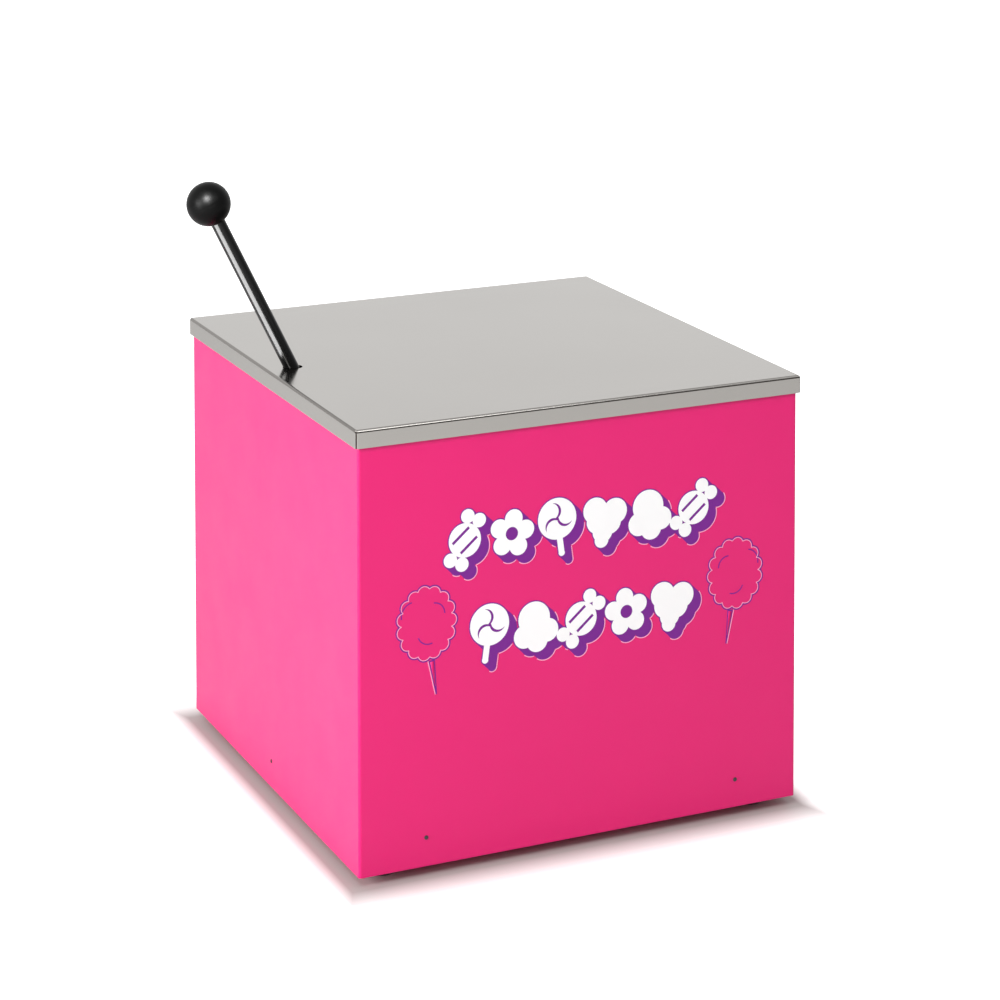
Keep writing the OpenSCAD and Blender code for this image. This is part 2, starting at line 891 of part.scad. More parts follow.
module rear_panel() {
  color("deeppink") difference() {
    union() {
      translate([0, rear_y - sheet, 0]) rear_plate();
      for (s = [-1, 1], i = [0:louvre_count - 1])
        on_rear(s * louvre_x, louvre_z + i * louvre_step) louvre_hood();
    }
    for (s = [-1, 1], i = [0:louvre_count - 1])
      on_rear(s * louvre_x, louvre_z + i * louvre_step) louvre_cut();
    at_panel_screws() screw_hole();
    at_cleat_screws() screw_hole();
    on_rear(power_switch_x, control_z) switch_cut();
    on_rear(heat_switch_x, control_z) switch_cut();
    on_rear(knob_x, control_z) round_cut(5);
    on_rear(meter_x, control_z) round_cut(meter_barrel_r + slip_gap);
    on_rear(breaker_x, control_z) round_cut(7);
    on_rear(lamp_x, control_z) round_cut(5);
    on_rear(relief_x, relief_z) round_cut(8);
  }
}

module rear_plate() {
  translate([0, 0, (panel_z0 + panel_z1) / 2]) rotate([-90, 0, 0])
    linear_extrude(sheet) round_rect(panel_w, panel_z1 - panel_z0, 4);
}

module round_cut(r) {
  translate([0, 0, -5]) cylinder(r = r, h = 10);
}

module switch_cut() {
  translate([-case_w / 2 + 0.9, -case_h / 2 + 0.9, -5]) cube([case_w - 1.8, case_h - 1.8, 10]);
}

// Hood of one louvre, open along its lower edge
module louvre_hood() {
  translate([-louvre_w / 2, 0, 0]) rotate([90, 0, 90]) linear_extrude(louvre_w)
    polygon([[0, -sheet / 2], [0, louvre_depth], [sheet, louvre_depth], [louvre_rise + 3, 0],
      [louvre_rise + 3, -sheet / 2]]);
}

module louvre_cut() {
  inside = louvre_w - 2 * sheet;
  translate([-inside / 2, 0, 0]) rotate([90, 0, 90]) linear_extrude(inside)
    polygon([[-1, -3], [-1, louvre_depth - sheet], [sheet / 2, louvre_depth - sheet],
      [louvre_rise, -sheet / 2], [louvre_rise, -3]]);
}

// Switch case seen from behind: a bezel outside and a hollow body through the panel
module switch_case() {
  difference() {
    union() {
      translate([0, 0, 0]) linear_extrude(2) round_rect(case_w + 3, case_h + 3, 1.5);
      translate([-case_w / 2 + 1, -case_h / 2 + 1, -case_depth]) cube([case_w - 2, case_h - 2, case_depth]);
    }
    translate([-rocker_w / 2 - 0.3, -rocker_r - 0.3, -rocker_r - 1])
      cube([rocker_w + 0.6, 2 * rocker_r + 0.6, rocker_r + 5]);
  }
  translate([-case_w / 2 + 1, 0, 0]) along_x() cylinder(r = 1.5, h = case_w - 2);
  for (x = [-4, 0, 4])
    translate([x - 0.4, -3, -case_depth - 8]) cube([0.8, 6, 8]);
}

// Rocker tilted to its off side, turning on the case's cross pin
module rocker() {
  rotate([rocker_tilt, 0, 0]) translate([-rocker_w / 2, 0, 0]) rotate([90, 0, 90])
    difference() {
      linear_extrude(rocker_w) intersection() {
        circle(rocker_r);
        polygon([[-rocker_r, -4], [rocker_r, -4], [rocker_r, 3.4], [0, 5.4 - 2 * sin(rocker_tilt)],
          [-rocker_r, 3.4]]);
      }
      translate([0, 0, -1]) cylinder(r = 1.5 + run_gap, h = rocker_w + 2);
    }
}

module power_switch_case() {
  color("black") on_rear(power_switch_x, control_z) switch_case();
}

module heat_switch_case() {
  color("black") on_rear(heat_switch_x, control_z) switch_case();
}

module power_rocker() {
  color("firebrick") on_rear(power_switch_x, control_z) rocker();
}

module heat_rocker() {
  color("dimgray") on_rear(heat_switch_x, control_z) rocker();
}

module heat_control_body() {
  color("dimgray") on_rear(knob_x, control_z) difference() {
    union() {
      translate([0, 0, -24]) cylinder(r = 14, h = 20);
      translate([0, 0, -5]) cylinder(r = 4.9, h = 9);
      cylinder(r = 8, h = 2, $fn = 6);
    }
    translate([0, 0, -22]) cylinder(r = 3 + run_gap, h = 40);
  }
}

module heat_knob() {
  grips = 16;
  color("black") on_rear(knob_x, control_z) rotate(knob_start) {
    difference() {
      union() {
        translate([0, 0, 4.6]) cylinder(r1 = knob_d / 2, r2 = knob_d / 2 - 3, h = 15);
        translate([0, 0, 4.6]) cylinder(r = knob_d / 2 + 2, h = 2);
      }
      for (i = [0:grips - 1])
        rotate((i + 0.5) * 360 / grips) translate([knob_d / 2 + 1, 0, 7]) cylinder(r = 2.4, h = 20);
    }
    translate([-1.2, 4, 19]) cube([2.4, knob_d / 2 - 8, 1.6]);
    translate([0, 0, -20]) cylinder(r = 3, h = 26);
  }
}

module meter_case() {
  color("black") on_rear(meter_x, control_z) difference() {
    union() {
      linear_extrude(10) round_rect(meter_size, meter_size, 5);
      translate([0, 0, -34]) cylinder(r = meter_barrel_r, h = 34);
    }
    translate([0, 0, 3]) linear_extrude(10) round_rect(meter_size - 8, meter_size - 8, 3);
  }
  color("ivory") on_rear(meter_x, control_z) translate([0, 0, 3]) linear_extrude(0.6)
    round_rect(meter_size - 8, meter_size - 8, 3);
  color("black") on_rear(meter_x, control_z) translate([0, -16, 3]) cylinder(r = 1.5, h = 3);
}

module meter_lens() {
  color("lightcyan") on_rear(meter_x, control_z) translate([0, 0, 8])
    linear_extrude(1.8) round_rect(meter_size - 8, meter_size - 8, 3);
}

module meter_needle() {
  color("black") on_rear(meter_x, control_z) translate([0, -16, 4.2]) rotate(needle_start) difference() {
    union() {
      cylinder(r = 4, h = 1.4);
      translate([-0.5, 0, 0.4]) cube([1, 34, 0.6]);
    }
    translate([0, 0, -1]) cylinder(r = 1.5 + run_gap, h = 4);
  }
}

module breaker_body() {
  color("black") on_rear(breaker_x, control_z) difference() {
    union() {
      translate([0, 0, -22]) cylinder(r = 6.8, h = 22);
      cylinder(r = 10, h = 3, $fn = 6);
    }
    translate([0, 0, -14]) cylinder(r = 3.5 + run_gap, h = 20);
  }
}

module breaker_button() {
  color("firebrick") on_rear(breaker_x, control_z) {
    translate([0, 0, -10]) cylinder(r = 3.5, h = 16);
  }
}

module pilot_lamp() {
  color("orange") on_rear(lamp_x, control_z) {
    translate([0, 0, -18]) cylinder(r = 4.8, h = 18);
    cylinder(r = 7, h = 2);
    intersection() {
      translate([0, 0, 2]) sphere(5.5);
      cylinder(r = 6, h = 10);
    }
  }
}

// Power cord

module strain_relief() {
  color("black") on_rear(relief_x, relief_z) difference() {
    union() {
      translate([0, 0, -12]) cylinder(r = 7.8, h = 12);
      cylinder(r = 11, h = 4);
    }
    translate([0, 0, -13]) cylinder(r = cord_r, h = 20);
  }
}

// Quarter bend of cord that starts at the origin along +X and turns towards +Y
module cord_bend(r) {
  translate([0, r, 0]) rotate(-90) rotate_extrude(angle = 90) translate([r, 0]) circle(cord_r);
}

// Half turn of cord at the right (side 1) or left (side -1) end of the coil. It climbs from the lower run to
// an upper run that lies rise further out.
module cord_half_turn(side, rise) {
  tilt = atan(rise / (2 * coil_r));
  translate([side * coil_x, rise / 2, 0]) rotate([90 - tilt, 0, 0]) rotate(side > 0 ? -90 : 90)
    rotate_extrude(angle = 180) translate([coil_r / cos(tilt), 0]) circle(cord_r);
}

// Straight run of cord at height z from x0 to x1, ending in a hairline break
module cord_run(x0, x1, z) {
  translate([x0, 0, z]) along_x() cylinder(r = cord_r, h = x1 - x0 - cord_break);
}

// Lead-in from the strain relief, the coil on the cleats, and the tail. The coil's turns meet end to end.
module power_cord() {
  top_z = coil_z + coil_r;
  out = coil_y - rear_y - 6;
  color("black") {
    translate([relief_x, rear_y - 16, relief_z]) along_y() cylinder(r = cord_r, h = 22);
    translate([relief_x, rear_y + 6, relief_z]) rotate([90, 0, 90]) cord_bend(out);
    translate([relief_x, coil_y, relief_z + out])
      cylinder(r = cord_r, h = top_z - relief_z - out - turn_r);
    translate([relief_x, coil_y, top_z - turn_r]) rotate([90, 0, 0]) rotate(90) cord_bend(turn_r);
    translate([coil_x, coil_y, top_z]) along_x() cylinder(r = cord_r, h = relief_x - turn_r - coil_x);
    for (i = [0:coil_turns - 1])
      translate([0, coil_y + i * coil_step, coil_z]) {
        cord_half_turn(-1, 0);
        cord_run(-coil_x, coil_x, coil_r);
        cord_run(-coil_x, coil_x, -coil_r);
        if (i < coil_turns - 1)
          cord_half_turn(1, coil_step);
      }
    translate([coil_x, last_y, coil_z - coil_r]) along_x() cylinder(r = cord_r, h = tail_x - coil_x);
    translate([tail_x, last_y, coil_z - coil_r]) mirror([0, 0, 1]) rotate([90, 0, 0]) cord_bend(turn_r);
  }
}

module power_plug() {
  color("black") translate([tail_x + turn_r, last_y, coil_z - coil_r - turn_r]) mirror([0, 0, 1])
    union() {
      cylinder(r1 = cord_r + 1.5, r2 = 13, h = 18);
      translate([0, 0, 18]) cylinder(r = 15, h = 14);
      for (s = [-1, 1])
        translate([s * 6.35 - 0.8, -3.2, 32]) cube([1.6, 6.4, 16]);
      translate([0, 9, 32]) cylinder(r = 2.4, h = 18);
    }
}

module cord_cleats() {
  core_r = coil_r - cord_r - 0.5;
  core_h = cleat_foot + coil_turns * coil_step + 1;
  color("black") for (s = [-1, 1])
    on_rear(s * coil_x, coil_z) difference() {
      union() {
        tube(core_r, core_r - 4, core_h);
        cylinder(r = core_r, h = cleat_foot_t);
        translate([0, 0, cleat_foot - 4]) tube(coil_r, core_r - 1, 3);
        translate([0, 0, core_h]) tube(coil_r + cord_r, core_r - 4, 3);
      }
      screw_hole();
    }
}

// Front graphic: two rows of sweets in white with a purple outline and drop shadow, and a floss on a cone at
// each side. Each sweet is drawn from discs and bars. Two special values change how all of them are drawn:
// $grow widens the shape, and $drop adds the block shadow below and to the right.

drop_by = [shadow, -shadow];
cut_in = 0.4;
row_z = [330, 229];
row_count = [6, 5];

function turned(p, a) = [p.x * cos(a) - p.y * sin(a), p.x * sin(a) + p.y * cos(a)];

module straight(a, b, w) {
  run = b - a;
  translate(a) rotate(atan2(run.y, run.x)) translate([0, -w / 2]) square([norm(run), w]);
}

module disc(p, r) {
  translate(p) circle(r + $grow);
  if ($drop) {
    straight(p, p + drop_by, 2 * (r + $grow) - cut_in);
    translate(p + drop_by) circle(r + $grow);
  }
}

// Bar with round ends
module bar(a, b, w) {
  shift = $drop ? 4 : 0;
  disc(a, w / 2);
  disc(b, w / 2);
  for (k = [0:shift])
    straight(a + drop_by * k / 4, b + drop_by * k / 4, w + 2 * $grow - cut_in);
}

// Round sweet in a twisted wrapper
module wrapped_sweet(a) {
  disc([0, 0], 18);
  for (s = [-1, 1], end = [-1, 1])
    disc(turned([s * 24, end * 7], a), 7.5);
}

module lollipop(a) {
  disc(turned([0, 9], a), 22);
  bar(turned([0, -10], a), turned([0, -28], a), 7);
}

module heart(a) {
  for (s = [-1, 1]) {
    disc(turned([s * 11.5, 10], a), 14);
    disc(turned([s * 6.5, -1], a), 13.5);
  }
  disc(turned([0, -12], a), 11.5);
  disc(turned([0, -21], a), 8);
}

module blossom(a) {
  disc([0, 0], 12);
  for (i = [0:4])
    disc(turned([0, 15.5], a + 72 * i), 10);
}

module puff(a) {
  disc(turned([0, 8], a), 18);
  disc(turned([-13, -8], a), 12.5);
  disc(turned([13, -8], a), 12.5);
  disc(turned([0, -16], a), 12);
}

module sweet(kind, a) {
  if (kind == 0) wrapped_sweet(a + 58);
  if (kind == 1) blossom(a);
  if (kind == 2) lollipop(a);
  if (kind == 3) heart(a);
  if (kind == 4) puff(a);
}

function sweet_kind(row, i) = row == 0 ? [0, 1, 2, 3, 4, 0][i] : [2, 4, 0, 1, 3][i];
function sweet_turn(row, i) = (i % 2 == 0 ? 8 : -8) * (row == 0 ? 1 : -1);

module rows() {
  for (row = [0, 1], i = [0:row_count[row] - 1]) {
    x = (i - (row_count[row] - 1) / 2) * sweet_pitch - shadow / 2;
    translate([x, row_z[row] + shadow / 2])
      sweet(sweet_kind(row, i), sweet_turn(row, i));
  }
}

// Thin cut-outs in the white film that draw each lollipop's swirl and each blossom's middle
module row_details() {
  for (row = [0, 1], i = [0:row_count[row] - 1]) {
    kind = sweet_kind(row, i);
    x = (i - (row_count[row] - 1) / 2) * sweet_pitch - shadow / 2;
    translate([x, row_z[row] + shadow / 2]) {
      if (kind == 2) translate(turned([0, 9], sweet_turn(row, i))) swirl();
      if (kind == 1) circle(7);
      if (kind == 0) stripes();
    }
  }
}

module swirl() {
  for (a = [0, 120, 240])
    rotate(a) difference() {
      translate([9, 0]) circle(9);
      translate([10.5, 2.4]) circle(9);
    }
}

module stripes() {
  for (s = [-1, 1])
    rotate(130) translate([s * 7 - 1.5, -12]) square([3, 24]);
}

// Floss on a cone
lobe_count = 15;
floss_rx = 26.2;
floss_rz = 31.7;
lobe_r = 8.8;

module floss_body(grow) {
  for (i = [0:lobe_count - 1]) {
    a = i * 360 / lobe_count;
    translate([floss_rx * cos(a), floss_rz * sin(a)]) circle(lobe_r + grow);
  }
  for (s = [-1, 0, 1])
    translate([0, s * (floss_rz - floss_rx)]) circle(floss_rx);
}

module curl(r, start, sweep_start) {
  rotate(start) intersection() {
    difference() {
      circle(r + outline / 2);
      circle(r - outline / 2);
    }
    rotate(sweep_start) square(r + outline);
  }
}

module floss_cone() {
  difference() {
    floss_body(0);
    floss_body(-outline);
  }
  translate([-14, 10]) curl(14, 100, 0);
  translate([8, 8]) curl(12, 0, 0);
  translate([2, -10]) curl(12, 200, 0);
  rotate(8) polygon([[-3.4, -floss_rz - lobe_r + 1], [3.4, -floss_rz - lobe_r + 1], [0.6, -76], [-0.6, -76]]);
}

module decal_purple() {
  color("purple") on_front() linear_extrude(film) {
    rows($grow = outline, $drop = true);
    translate([-179, 253.5]) floss_cone();
    translate([179, 256]) mirror([1, 0]) floss_cone();
  }
}

module decal_white() {
  color("white") on_front() translate([0, 0, film]) linear_extrude(film) difference() {
    rows($grow = 0, $drop = false);
    row_details();
  }
}

cabinet();
base_pan();
deck_angles();
deck_plate();
latch_strikes();
lid_bumpers();
feet();
foot_screws();
cabinet_rivets();
panel_screws();
hinge_cabinet_leaves();
hinge_pins();
decal_purple();
decal_white();
floss_bowl();
motor_plate();
motor_isolators();
motor_housing();
motor_end_cap();
motor_stator();
motor_bearings();
brush_holder();
brushes();
heat_controller();
terminal_block();
wiring();
rear_panel();
power_switch_case();
heat_switch_case();
heat_control_body();
meter_case();
meter_lens();
breaker_body();
pilot_lamp();
power_cord();
power_plug();
strain_relief();
cord_cleats();
lid();
hinge_lid_leaves();
lid_rivets();
shaft_brackets();
latch_shaft();
latch_hooks();
lever_rod();
lever_knob();
shaft_clips();
motor_shaft();
motor_rotor();
cooling_fan();
slip_ring_hub();
spinner_base();
heater_band();
spinner_cap();
head_posts();
power_rocker();
heat_rocker();
heat_knob();
breaker_button();
meter_needle();
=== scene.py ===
import math

import bmesh
import bpy
from mathutils import Matrix, Vector


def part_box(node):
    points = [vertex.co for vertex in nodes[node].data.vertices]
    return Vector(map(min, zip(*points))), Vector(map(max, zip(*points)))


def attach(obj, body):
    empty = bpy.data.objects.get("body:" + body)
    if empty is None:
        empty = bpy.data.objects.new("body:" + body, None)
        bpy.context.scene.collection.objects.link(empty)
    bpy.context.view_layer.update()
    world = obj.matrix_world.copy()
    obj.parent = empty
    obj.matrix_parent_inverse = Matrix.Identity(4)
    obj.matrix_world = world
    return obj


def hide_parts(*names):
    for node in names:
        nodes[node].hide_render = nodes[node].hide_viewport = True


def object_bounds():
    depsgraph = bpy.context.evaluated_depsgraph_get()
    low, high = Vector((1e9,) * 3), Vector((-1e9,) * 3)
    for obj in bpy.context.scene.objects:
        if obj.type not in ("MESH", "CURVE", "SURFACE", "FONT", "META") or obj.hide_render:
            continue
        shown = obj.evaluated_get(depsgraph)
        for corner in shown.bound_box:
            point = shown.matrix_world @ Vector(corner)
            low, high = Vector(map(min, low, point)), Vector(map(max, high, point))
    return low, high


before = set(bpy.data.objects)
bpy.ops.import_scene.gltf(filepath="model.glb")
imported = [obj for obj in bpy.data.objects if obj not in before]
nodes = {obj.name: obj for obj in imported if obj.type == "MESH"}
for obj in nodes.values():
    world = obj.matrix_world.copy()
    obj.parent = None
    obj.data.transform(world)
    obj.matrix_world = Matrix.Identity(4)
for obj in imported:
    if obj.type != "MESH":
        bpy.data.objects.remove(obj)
cad_low, cad_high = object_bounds()

MM = 0.001

# Positions and sizes shared with the CAD
REAR_Y = 261.5 * MM
FRONT_Y = -260 * MM
LID_HALF_W = 257.5 * MM
LID_HALF_D = 263.5 * MM
LID_TOP = 460 * MM
PIVOT = Vector((-0.225, 0, 0.456))
LEVER_LEAN = math.radians(26.5)
LEVER_REACH = 217 * MM
BALL_R = 23.8 * MM
ROD_R = 7.95 * MM
CONTROL_Z = 205 * MM
METER_X = 95 * MM
KNOB_X = 15 * MM
HEAT_SWITCH_X = -62 * MM
POWER_SWITCH_X = -112 * MM

PRINT_THICK = 0.1 * MM

# Colours that more than one finish uses
PINK = (0.78, 0.006, 0.165, 1.0)
MARK_WHITE = (0.8, 0.8, 0.8, 1.0)
MOULDED_BLACK = (0.012, 0.012, 0.013, 1.0)
PHENOLIC_BROWN = (0.12, 0.035, 0.015, 1.0)
BRASS = (0.75, 0.52, 0.2, 1.0)
COPPER = (0.7, 0.3, 0.16, 1.0)
NICKEL = (0.6, 0.58, 0.54, 1.0)


def srgb(red, green, blue):
    """Linear colour from screen values between 0 and 255."""

    def linear(value):
        value /= 255
        return value / 12.92 if value <= 0.04045 else ((value + 0.055) / 1.055) ** 2.4

    return (linear(red), linear(green), linear(blue), 1.0)


def scaled(colour, factor):
    return tuple(min(1.0, c * factor) for c in colour[:3]) + (1.0,)


# Node helpers. Each takes the node tree and gives back an output socket.


def feed(tree, socket, value):
    """Links a socket to another one, or gives it a plain value."""
    if isinstance(value, bpy.types.NodeSocket):
        tree.links.new(value, socket)
    else:
        socket.default_value = value


def place(tree, stretch=(1, 1, 1)):
    """The shaded point in the piece's own frame, stretched along its axes."""
    coords = tree.nodes.new("ShaderNodeTexCoord")
    mapping = tree.nodes.new("ShaderNodeMapping")
    mapping.inputs["Scale"].default_value = stretch
    tree.links.new(coords.outputs["Object"], mapping.inputs["Vector"])
    return mapping.outputs["Vector"]


def noise(tree, scale, stretch=(1, 1, 1), detail=3.0):
    """Noise whose scale is in features per metre."""
    node = tree.nodes.new("ShaderNodeTexNoise")
    node.inputs["Scale"].default_value = scale
    node.inputs["Detail"].default_value = detail
    tree.links.new(place(tree, stretch), node.inputs["Vector"])
    return node.outputs["Fac"]


def cells(tree, scale):
    """Flat cells of random brightness, scale of them in a metre."""
    node = tree.nodes.new("ShaderNodeTexVoronoi")
    node.inputs["Scale"].default_value = scale
    tree.links.new(place(tree), node.inputs["Vector"])
    return node.outputs["Color"]


def compute(tree, operation, first, second=0.0):
    node = tree.nodes.new("ShaderNodeMath")
    node.operation = operation
    feed(tree, node.inputs[0], first)
    feed(tree, node.inputs[1], second)
    return node.outputs[0]


def remap(tree, value, low, high, to_low, to_high):
    node = tree.nodes.new("ShaderNodeMapRange")
    for socket, item in zip(node.inputs, (value, low, high, to_low, to_high)):
        feed(tree, socket, item)
    return node.outputs[0]


def mix(tree, share, first, second):
    """First where share is 0 and second where it is 1."""
    node = tree.nodes.new("ShaderNodeMix")
    node.data_type = "RGBA"
    feed(tree, node.inputs["Factor"], share)
    feed(tree, node.inputs[6], first)
    feed(tree, node.inputs[7], second)
    return node.outputs[2]


def axis_value(tree, axis):
    """X, Y or Z of the shaded point in the piece's own frame."""
    split = tree.nodes.new("ShaderNodeSeparateXYZ")
    tree.links.new(place(tree), split.inputs[0])
    return split.outputs[axis]


def from_z_axis(tree):
    """Distance of the shaded point from the Z axis."""
    across = compute(tree, "POWER", axis_value(tree, 0), 2.0)
    along = compute(tree, "POWER", axis_value(tree, 1), 2.0)
    return compute(tree, "SQRT", compute(tree, "ADD", across, along))


def beyond(tree, value, limit):
    """0 below limit and 1 above it."""
    soft = 0.1 * MM
    return remap(tree, value, limit - soft, limit + soft, 0.0, 1.0)


def below(tree, value, limit):
    """1 below limit and 0 above it."""
    return compute(tree, "SUBTRACT", 1.0, beyond(tree, value, limit))


def all_of(tree, *shares):
    """1 only where every share is 1."""
    result = shares[0]
    for share in shares[1:]:
        result = compute(tree, "MULTIPLY", result, share)
    return result


def round_edge(tree, radius):
    """Shading normal that softens edges as if they had this radius."""
    node = tree.nodes.new("ShaderNodeBevel")
    node.samples = 4
    node.inputs["Radius"].default_value = radius
    return node.outputs["Normal"]


def edge_mask(tree, rounded):
    """1 on the edges that the rounded normal turns away from the flat surface."""
    geometry = tree.nodes.new("ShaderNodeNewGeometry")
    dot = tree.nodes.new("ShaderNodeVectorMath")
    dot.operation = "DOT_PRODUCT"
    tree.links.new(rounded, dot.inputs[0])
    tree.links.new(geometry.outputs["Normal"], dot.inputs[1])
    return remap(tree, dot.outputs["Value"], 0.97, 0.8, 0.0, 1.0)


def bump(tree, height, distance, normal=None):
    """Shading normal for a height map that is distance deep, on top of another normal if given."""
    node = tree.nodes.new("ShaderNodeBump")
    node.inputs["Distance"].default_value = distance
    tree.links.new(height, node.inputs["Height"])
    if normal is not None:
        tree.links.new(normal, node.inputs["Normal"])
    return node.outputs["Normal"]


def recolour(tree, shader, share, colour):
    """Paints colour over the finish where share is 1."""
    before = shader.inputs["Base Color"].links[0].from_socket
    feed(tree, shader.inputs["Base Color"], mix(tree, share, before, colour))


def roughen(tree, shader, height, distance):
    """Adds one more height map to the finish."""
    before = shader.inputs["Normal"].links[0].from_socket
    feed(tree, shader.inputs["Normal"], bump(tree, height, distance, before))


def surface(name, colour, rough, metallic=0.0, spread=0.08, rough_spread=0.06, blotch=14, grain=700,
            stretch=(1, 1, 1), depth=0.02, edge=0.4, worn=None, worn_share=0.5, ior=1.45):
    """A finish with blotches in its colour, uneven roughness, a fine grain and edges that catch the light.
    Depth is the grain's depth and edge the soft edge's radius, both in millimetres."""
    material = bpy.data.materials.new(name)
    material.use_nodes = True
    tree = material.node_tree
    shader = tree.nodes["Principled BSDF"]
    patches = noise(tree, blotch, detail=5.0)
    tone = mix(tree, patches, scaled(colour, 1 - spread), scaled(colour, 1 + spread))
    fine = noise(tree, grain, stretch)
    tone = mix(tree, remap(tree, fine, 0.35, 0.65, 0.0, spread), tone, scaled(colour, 0.7))
    normal = None
    if edge:
        normal = round_edge(tree, edge * MM)
        if worn is not None:
            scuffs = remap(tree, noise(tree, 60, detail=6.0), 0.4, 0.7, 0.0, worn_share)
            tone = mix(tree, compute(tree, "MULTIPLY", edge_mask(tree, normal), scuffs), tone, worn)
    smears = noise(tree, blotch * 2.7, detail=6.0)
    uneven = remap(tree, smears, 0.3, 0.7, rough - rough_spread, rough + rough_spread)
    feed(tree, shader.inputs["Base Color"], tone)
    feed(tree, shader.inputs["Roughness"], uneven)
    feed(tree, shader.inputs["Metallic"], metallic)
    feed(tree, shader.inputs["IOR"], ior)
    feed(tree, shader.inputs["Normal"], bump(tree, fine, depth * MM, normal))
    return material, tree, shader


def powder_coat():
    """Pink powder coat: faint orange peel, edges where the coat is thinner and paler."""
    material, tree, shader = surface(
        "pink_powder_coat", PINK, 0.36, spread=0.02, rough_spread=0.02, blotch=7,
        grain=420, depth=0.012, edge=0.6, worn=(0.95, 0.25, 0.45, 1.0), worn_share=0.7)
    roughen(tree, shader, noise(tree, 160, detail=1.0), 0.02 * MM)
    return material


def satin_stainless():
    """Stainless sheet with fine grain along X and faint waves. Its folds carry painted reflections: the
    side folds are painted dull, and the front and back folds get a painted highlight line between two
    painted dark lines.
    Painted shade darkens the open corner seams."""
    material, tree, shader = surface(
        "satin_stainless", (0.455, 0.436, 0.412, 1.0), 0.17, metallic=1.0, spread=0.035, rough_spread=0.02,
        blotch=3, grain=350, stretch=(0.02, 1, 1), depth=0.0007, edge=0.0)
    roughen(tree, shader, noise(tree, 4, detail=0.0), 0.8 * MM)
    x_axis, y_axis = 0, 1
    # Painted reflections on the folds: dull grey on the side folds, and on the front and back folds a
    # painted dark line, a painted highlight line and a second painted dark line.
    recolour(tree, shader, painted_fold_band(tree, x_axis, 0.2, 0.965), (0.24, 0.225, 0.21, 1.0))
    recolour(tree, shader, painted_fold_band(tree, y_axis, 0.1, 0.45), (0.1, 0.085, 0.075, 1.0))
    recolour(tree, shader, painted_fold_band(tree, y_axis, 0.55, 0.86), (0.92, 0.88, 0.84, 1.0))
    recolour(tree, shader, painted_fold_band(tree, y_axis, 0.92, 0.985), (0.14, 0.125, 0.11, 1.0))
    # Painted shade along the open corner seams.
    recolour(tree, shader, painted_seam_shade(tree), (0.03, 0.025, 0.022, 1.0))
    return material


def painted_fold_band(tree, axis, low, high):
    """1 on the folds that turn down towards axis, where the surface faces up by between low and high: the
    bands that get painted reflection lines.
    """
    coords = tree.nodes.new("ShaderNodeTexCoord")
    facing = tree.nodes.new("ShaderNodeSeparateXYZ")
    tree.links.new(coords.outputs["Normal"], facing.inputs[0])
    upward = facing.outputs[2]
    sideways = compute(tree, "ABSOLUTE", facing.outputs[axis])
    soft, nearly_up = 0.03, 0.998
    return all_of(tree,
                  remap(tree, upward, low - soft, low + soft, 0.0, 1.0),
                  remap(tree, upward, high - soft, min(high + soft, nearly_up), 1.0, 0.0),
                  compute(tree, "GREATER_THAN", sideways, 0.08))


def painted_seam_shade(tree):
    """1 along the open seams at the lid's four corners, where shade is painted dark."""
    off_x = compute(tree, "SUBTRACT", LID_HALF_W, compute(tree, "ABSOLUTE", axis_value(tree, 0)))
    off_y = compute(tree, "SUBTRACT", LID_HALF_D, compute(tree, "ABSOLUTE", axis_value(tree, 1)))
    apart = compute(tree, "ABSOLUTE", compute(tree, "SUBTRACT", off_x, off_y))
    return all_of(tree,
                  remap(tree, apart, 0.9 * MM, 1.4 * MM, 1.0, 0.0),
                  remap(tree, compute(tree, "ADD", off_x, off_y), 5 * MM, 6 * MM, 1.0, 0.0),
                  remap(tree, axis_value(tree, 2), LID_TOP, LID_TOP + 0.5 * MM, 1.0, 0.0))


def zinc_plate():
    """Zinc-plated steel with a faint spangle."""
    tint = (0.56, 0.57, 0.58, 1.0)
    material, tree, shader = surface("zinc_plate", tint, 0.38, metallic=1.0, spread=0.12, blotch=30,
                                     grain=900, depth=0.006, edge=0.3, worn=(0.75, 0.75, 0.75, 1.0))
    spangle = remap(tree, cells(tree, 160), 0.0, 1.0, 0.0, 0.18)
    recolour(tree, shader, spangle, scaled(tint, 1.35))
    return material


def spun_aluminium(name, haze=None):
    """Aluminium with rings round the Z axis from spinning. Haze is a colour that sugar leaves on it."""
    tint = (0.72, 0.73, 0.74, 1.0)
    ring_turn = 4200.0  # radians of the ring wave in each metre
    material, tree, shader = surface(name, tint, 0.3, metallic=1.0, spread=0.08, blotch=18, grain=900,
                                     depth=0.003, edge=0.5, worn=(0.85, 0.85, 0.85, 1.0))
    turn = compute(tree, "MULTIPLY", from_z_axis(tree), ring_turn)
    roughen(tree, shader, compute(tree, "SINE", turn), 0.004 * MM)
    if haze is not None:
        film = remap(tree, noise(tree, 22, detail=8.0), 0.5, 0.75, 0.0, 0.4)
        recolour(tree, shader, film, haze)
    return material


def painted_steel(name, colour):
    """Painted steel worn to grey at its edges."""
    return surface(name, colour, 0.45, metallic=0.2, spread=0.15, blotch=40, grain=900, depth=0.03,
                   edge=0.3, worn=(0.4, 0.4, 0.4, 1.0))[0]


def steel(name, tint, rough=0.25):
    """Bare steel with a fine grain along Z."""
    return surface(name, tint, rough, metallic=1.0, spread=0.1, blotch=60, grain=1800,
                   stretch=(1, 1, 0.1), depth=0.004, edge=0.2, worn=scaled(tint, 1.3))[0]


def plastic(name, colour, rough=0.42, ior=1.45, grain=1400, depth=0.015):
    """Moulded plastic, as (material, tree, shader)."""
    return surface(name, colour, rough, spread=0.1, blotch=50, grain=grain, depth=depth, edge=0.25,
                   worn=scaled(colour, 1.5), ior=ior)


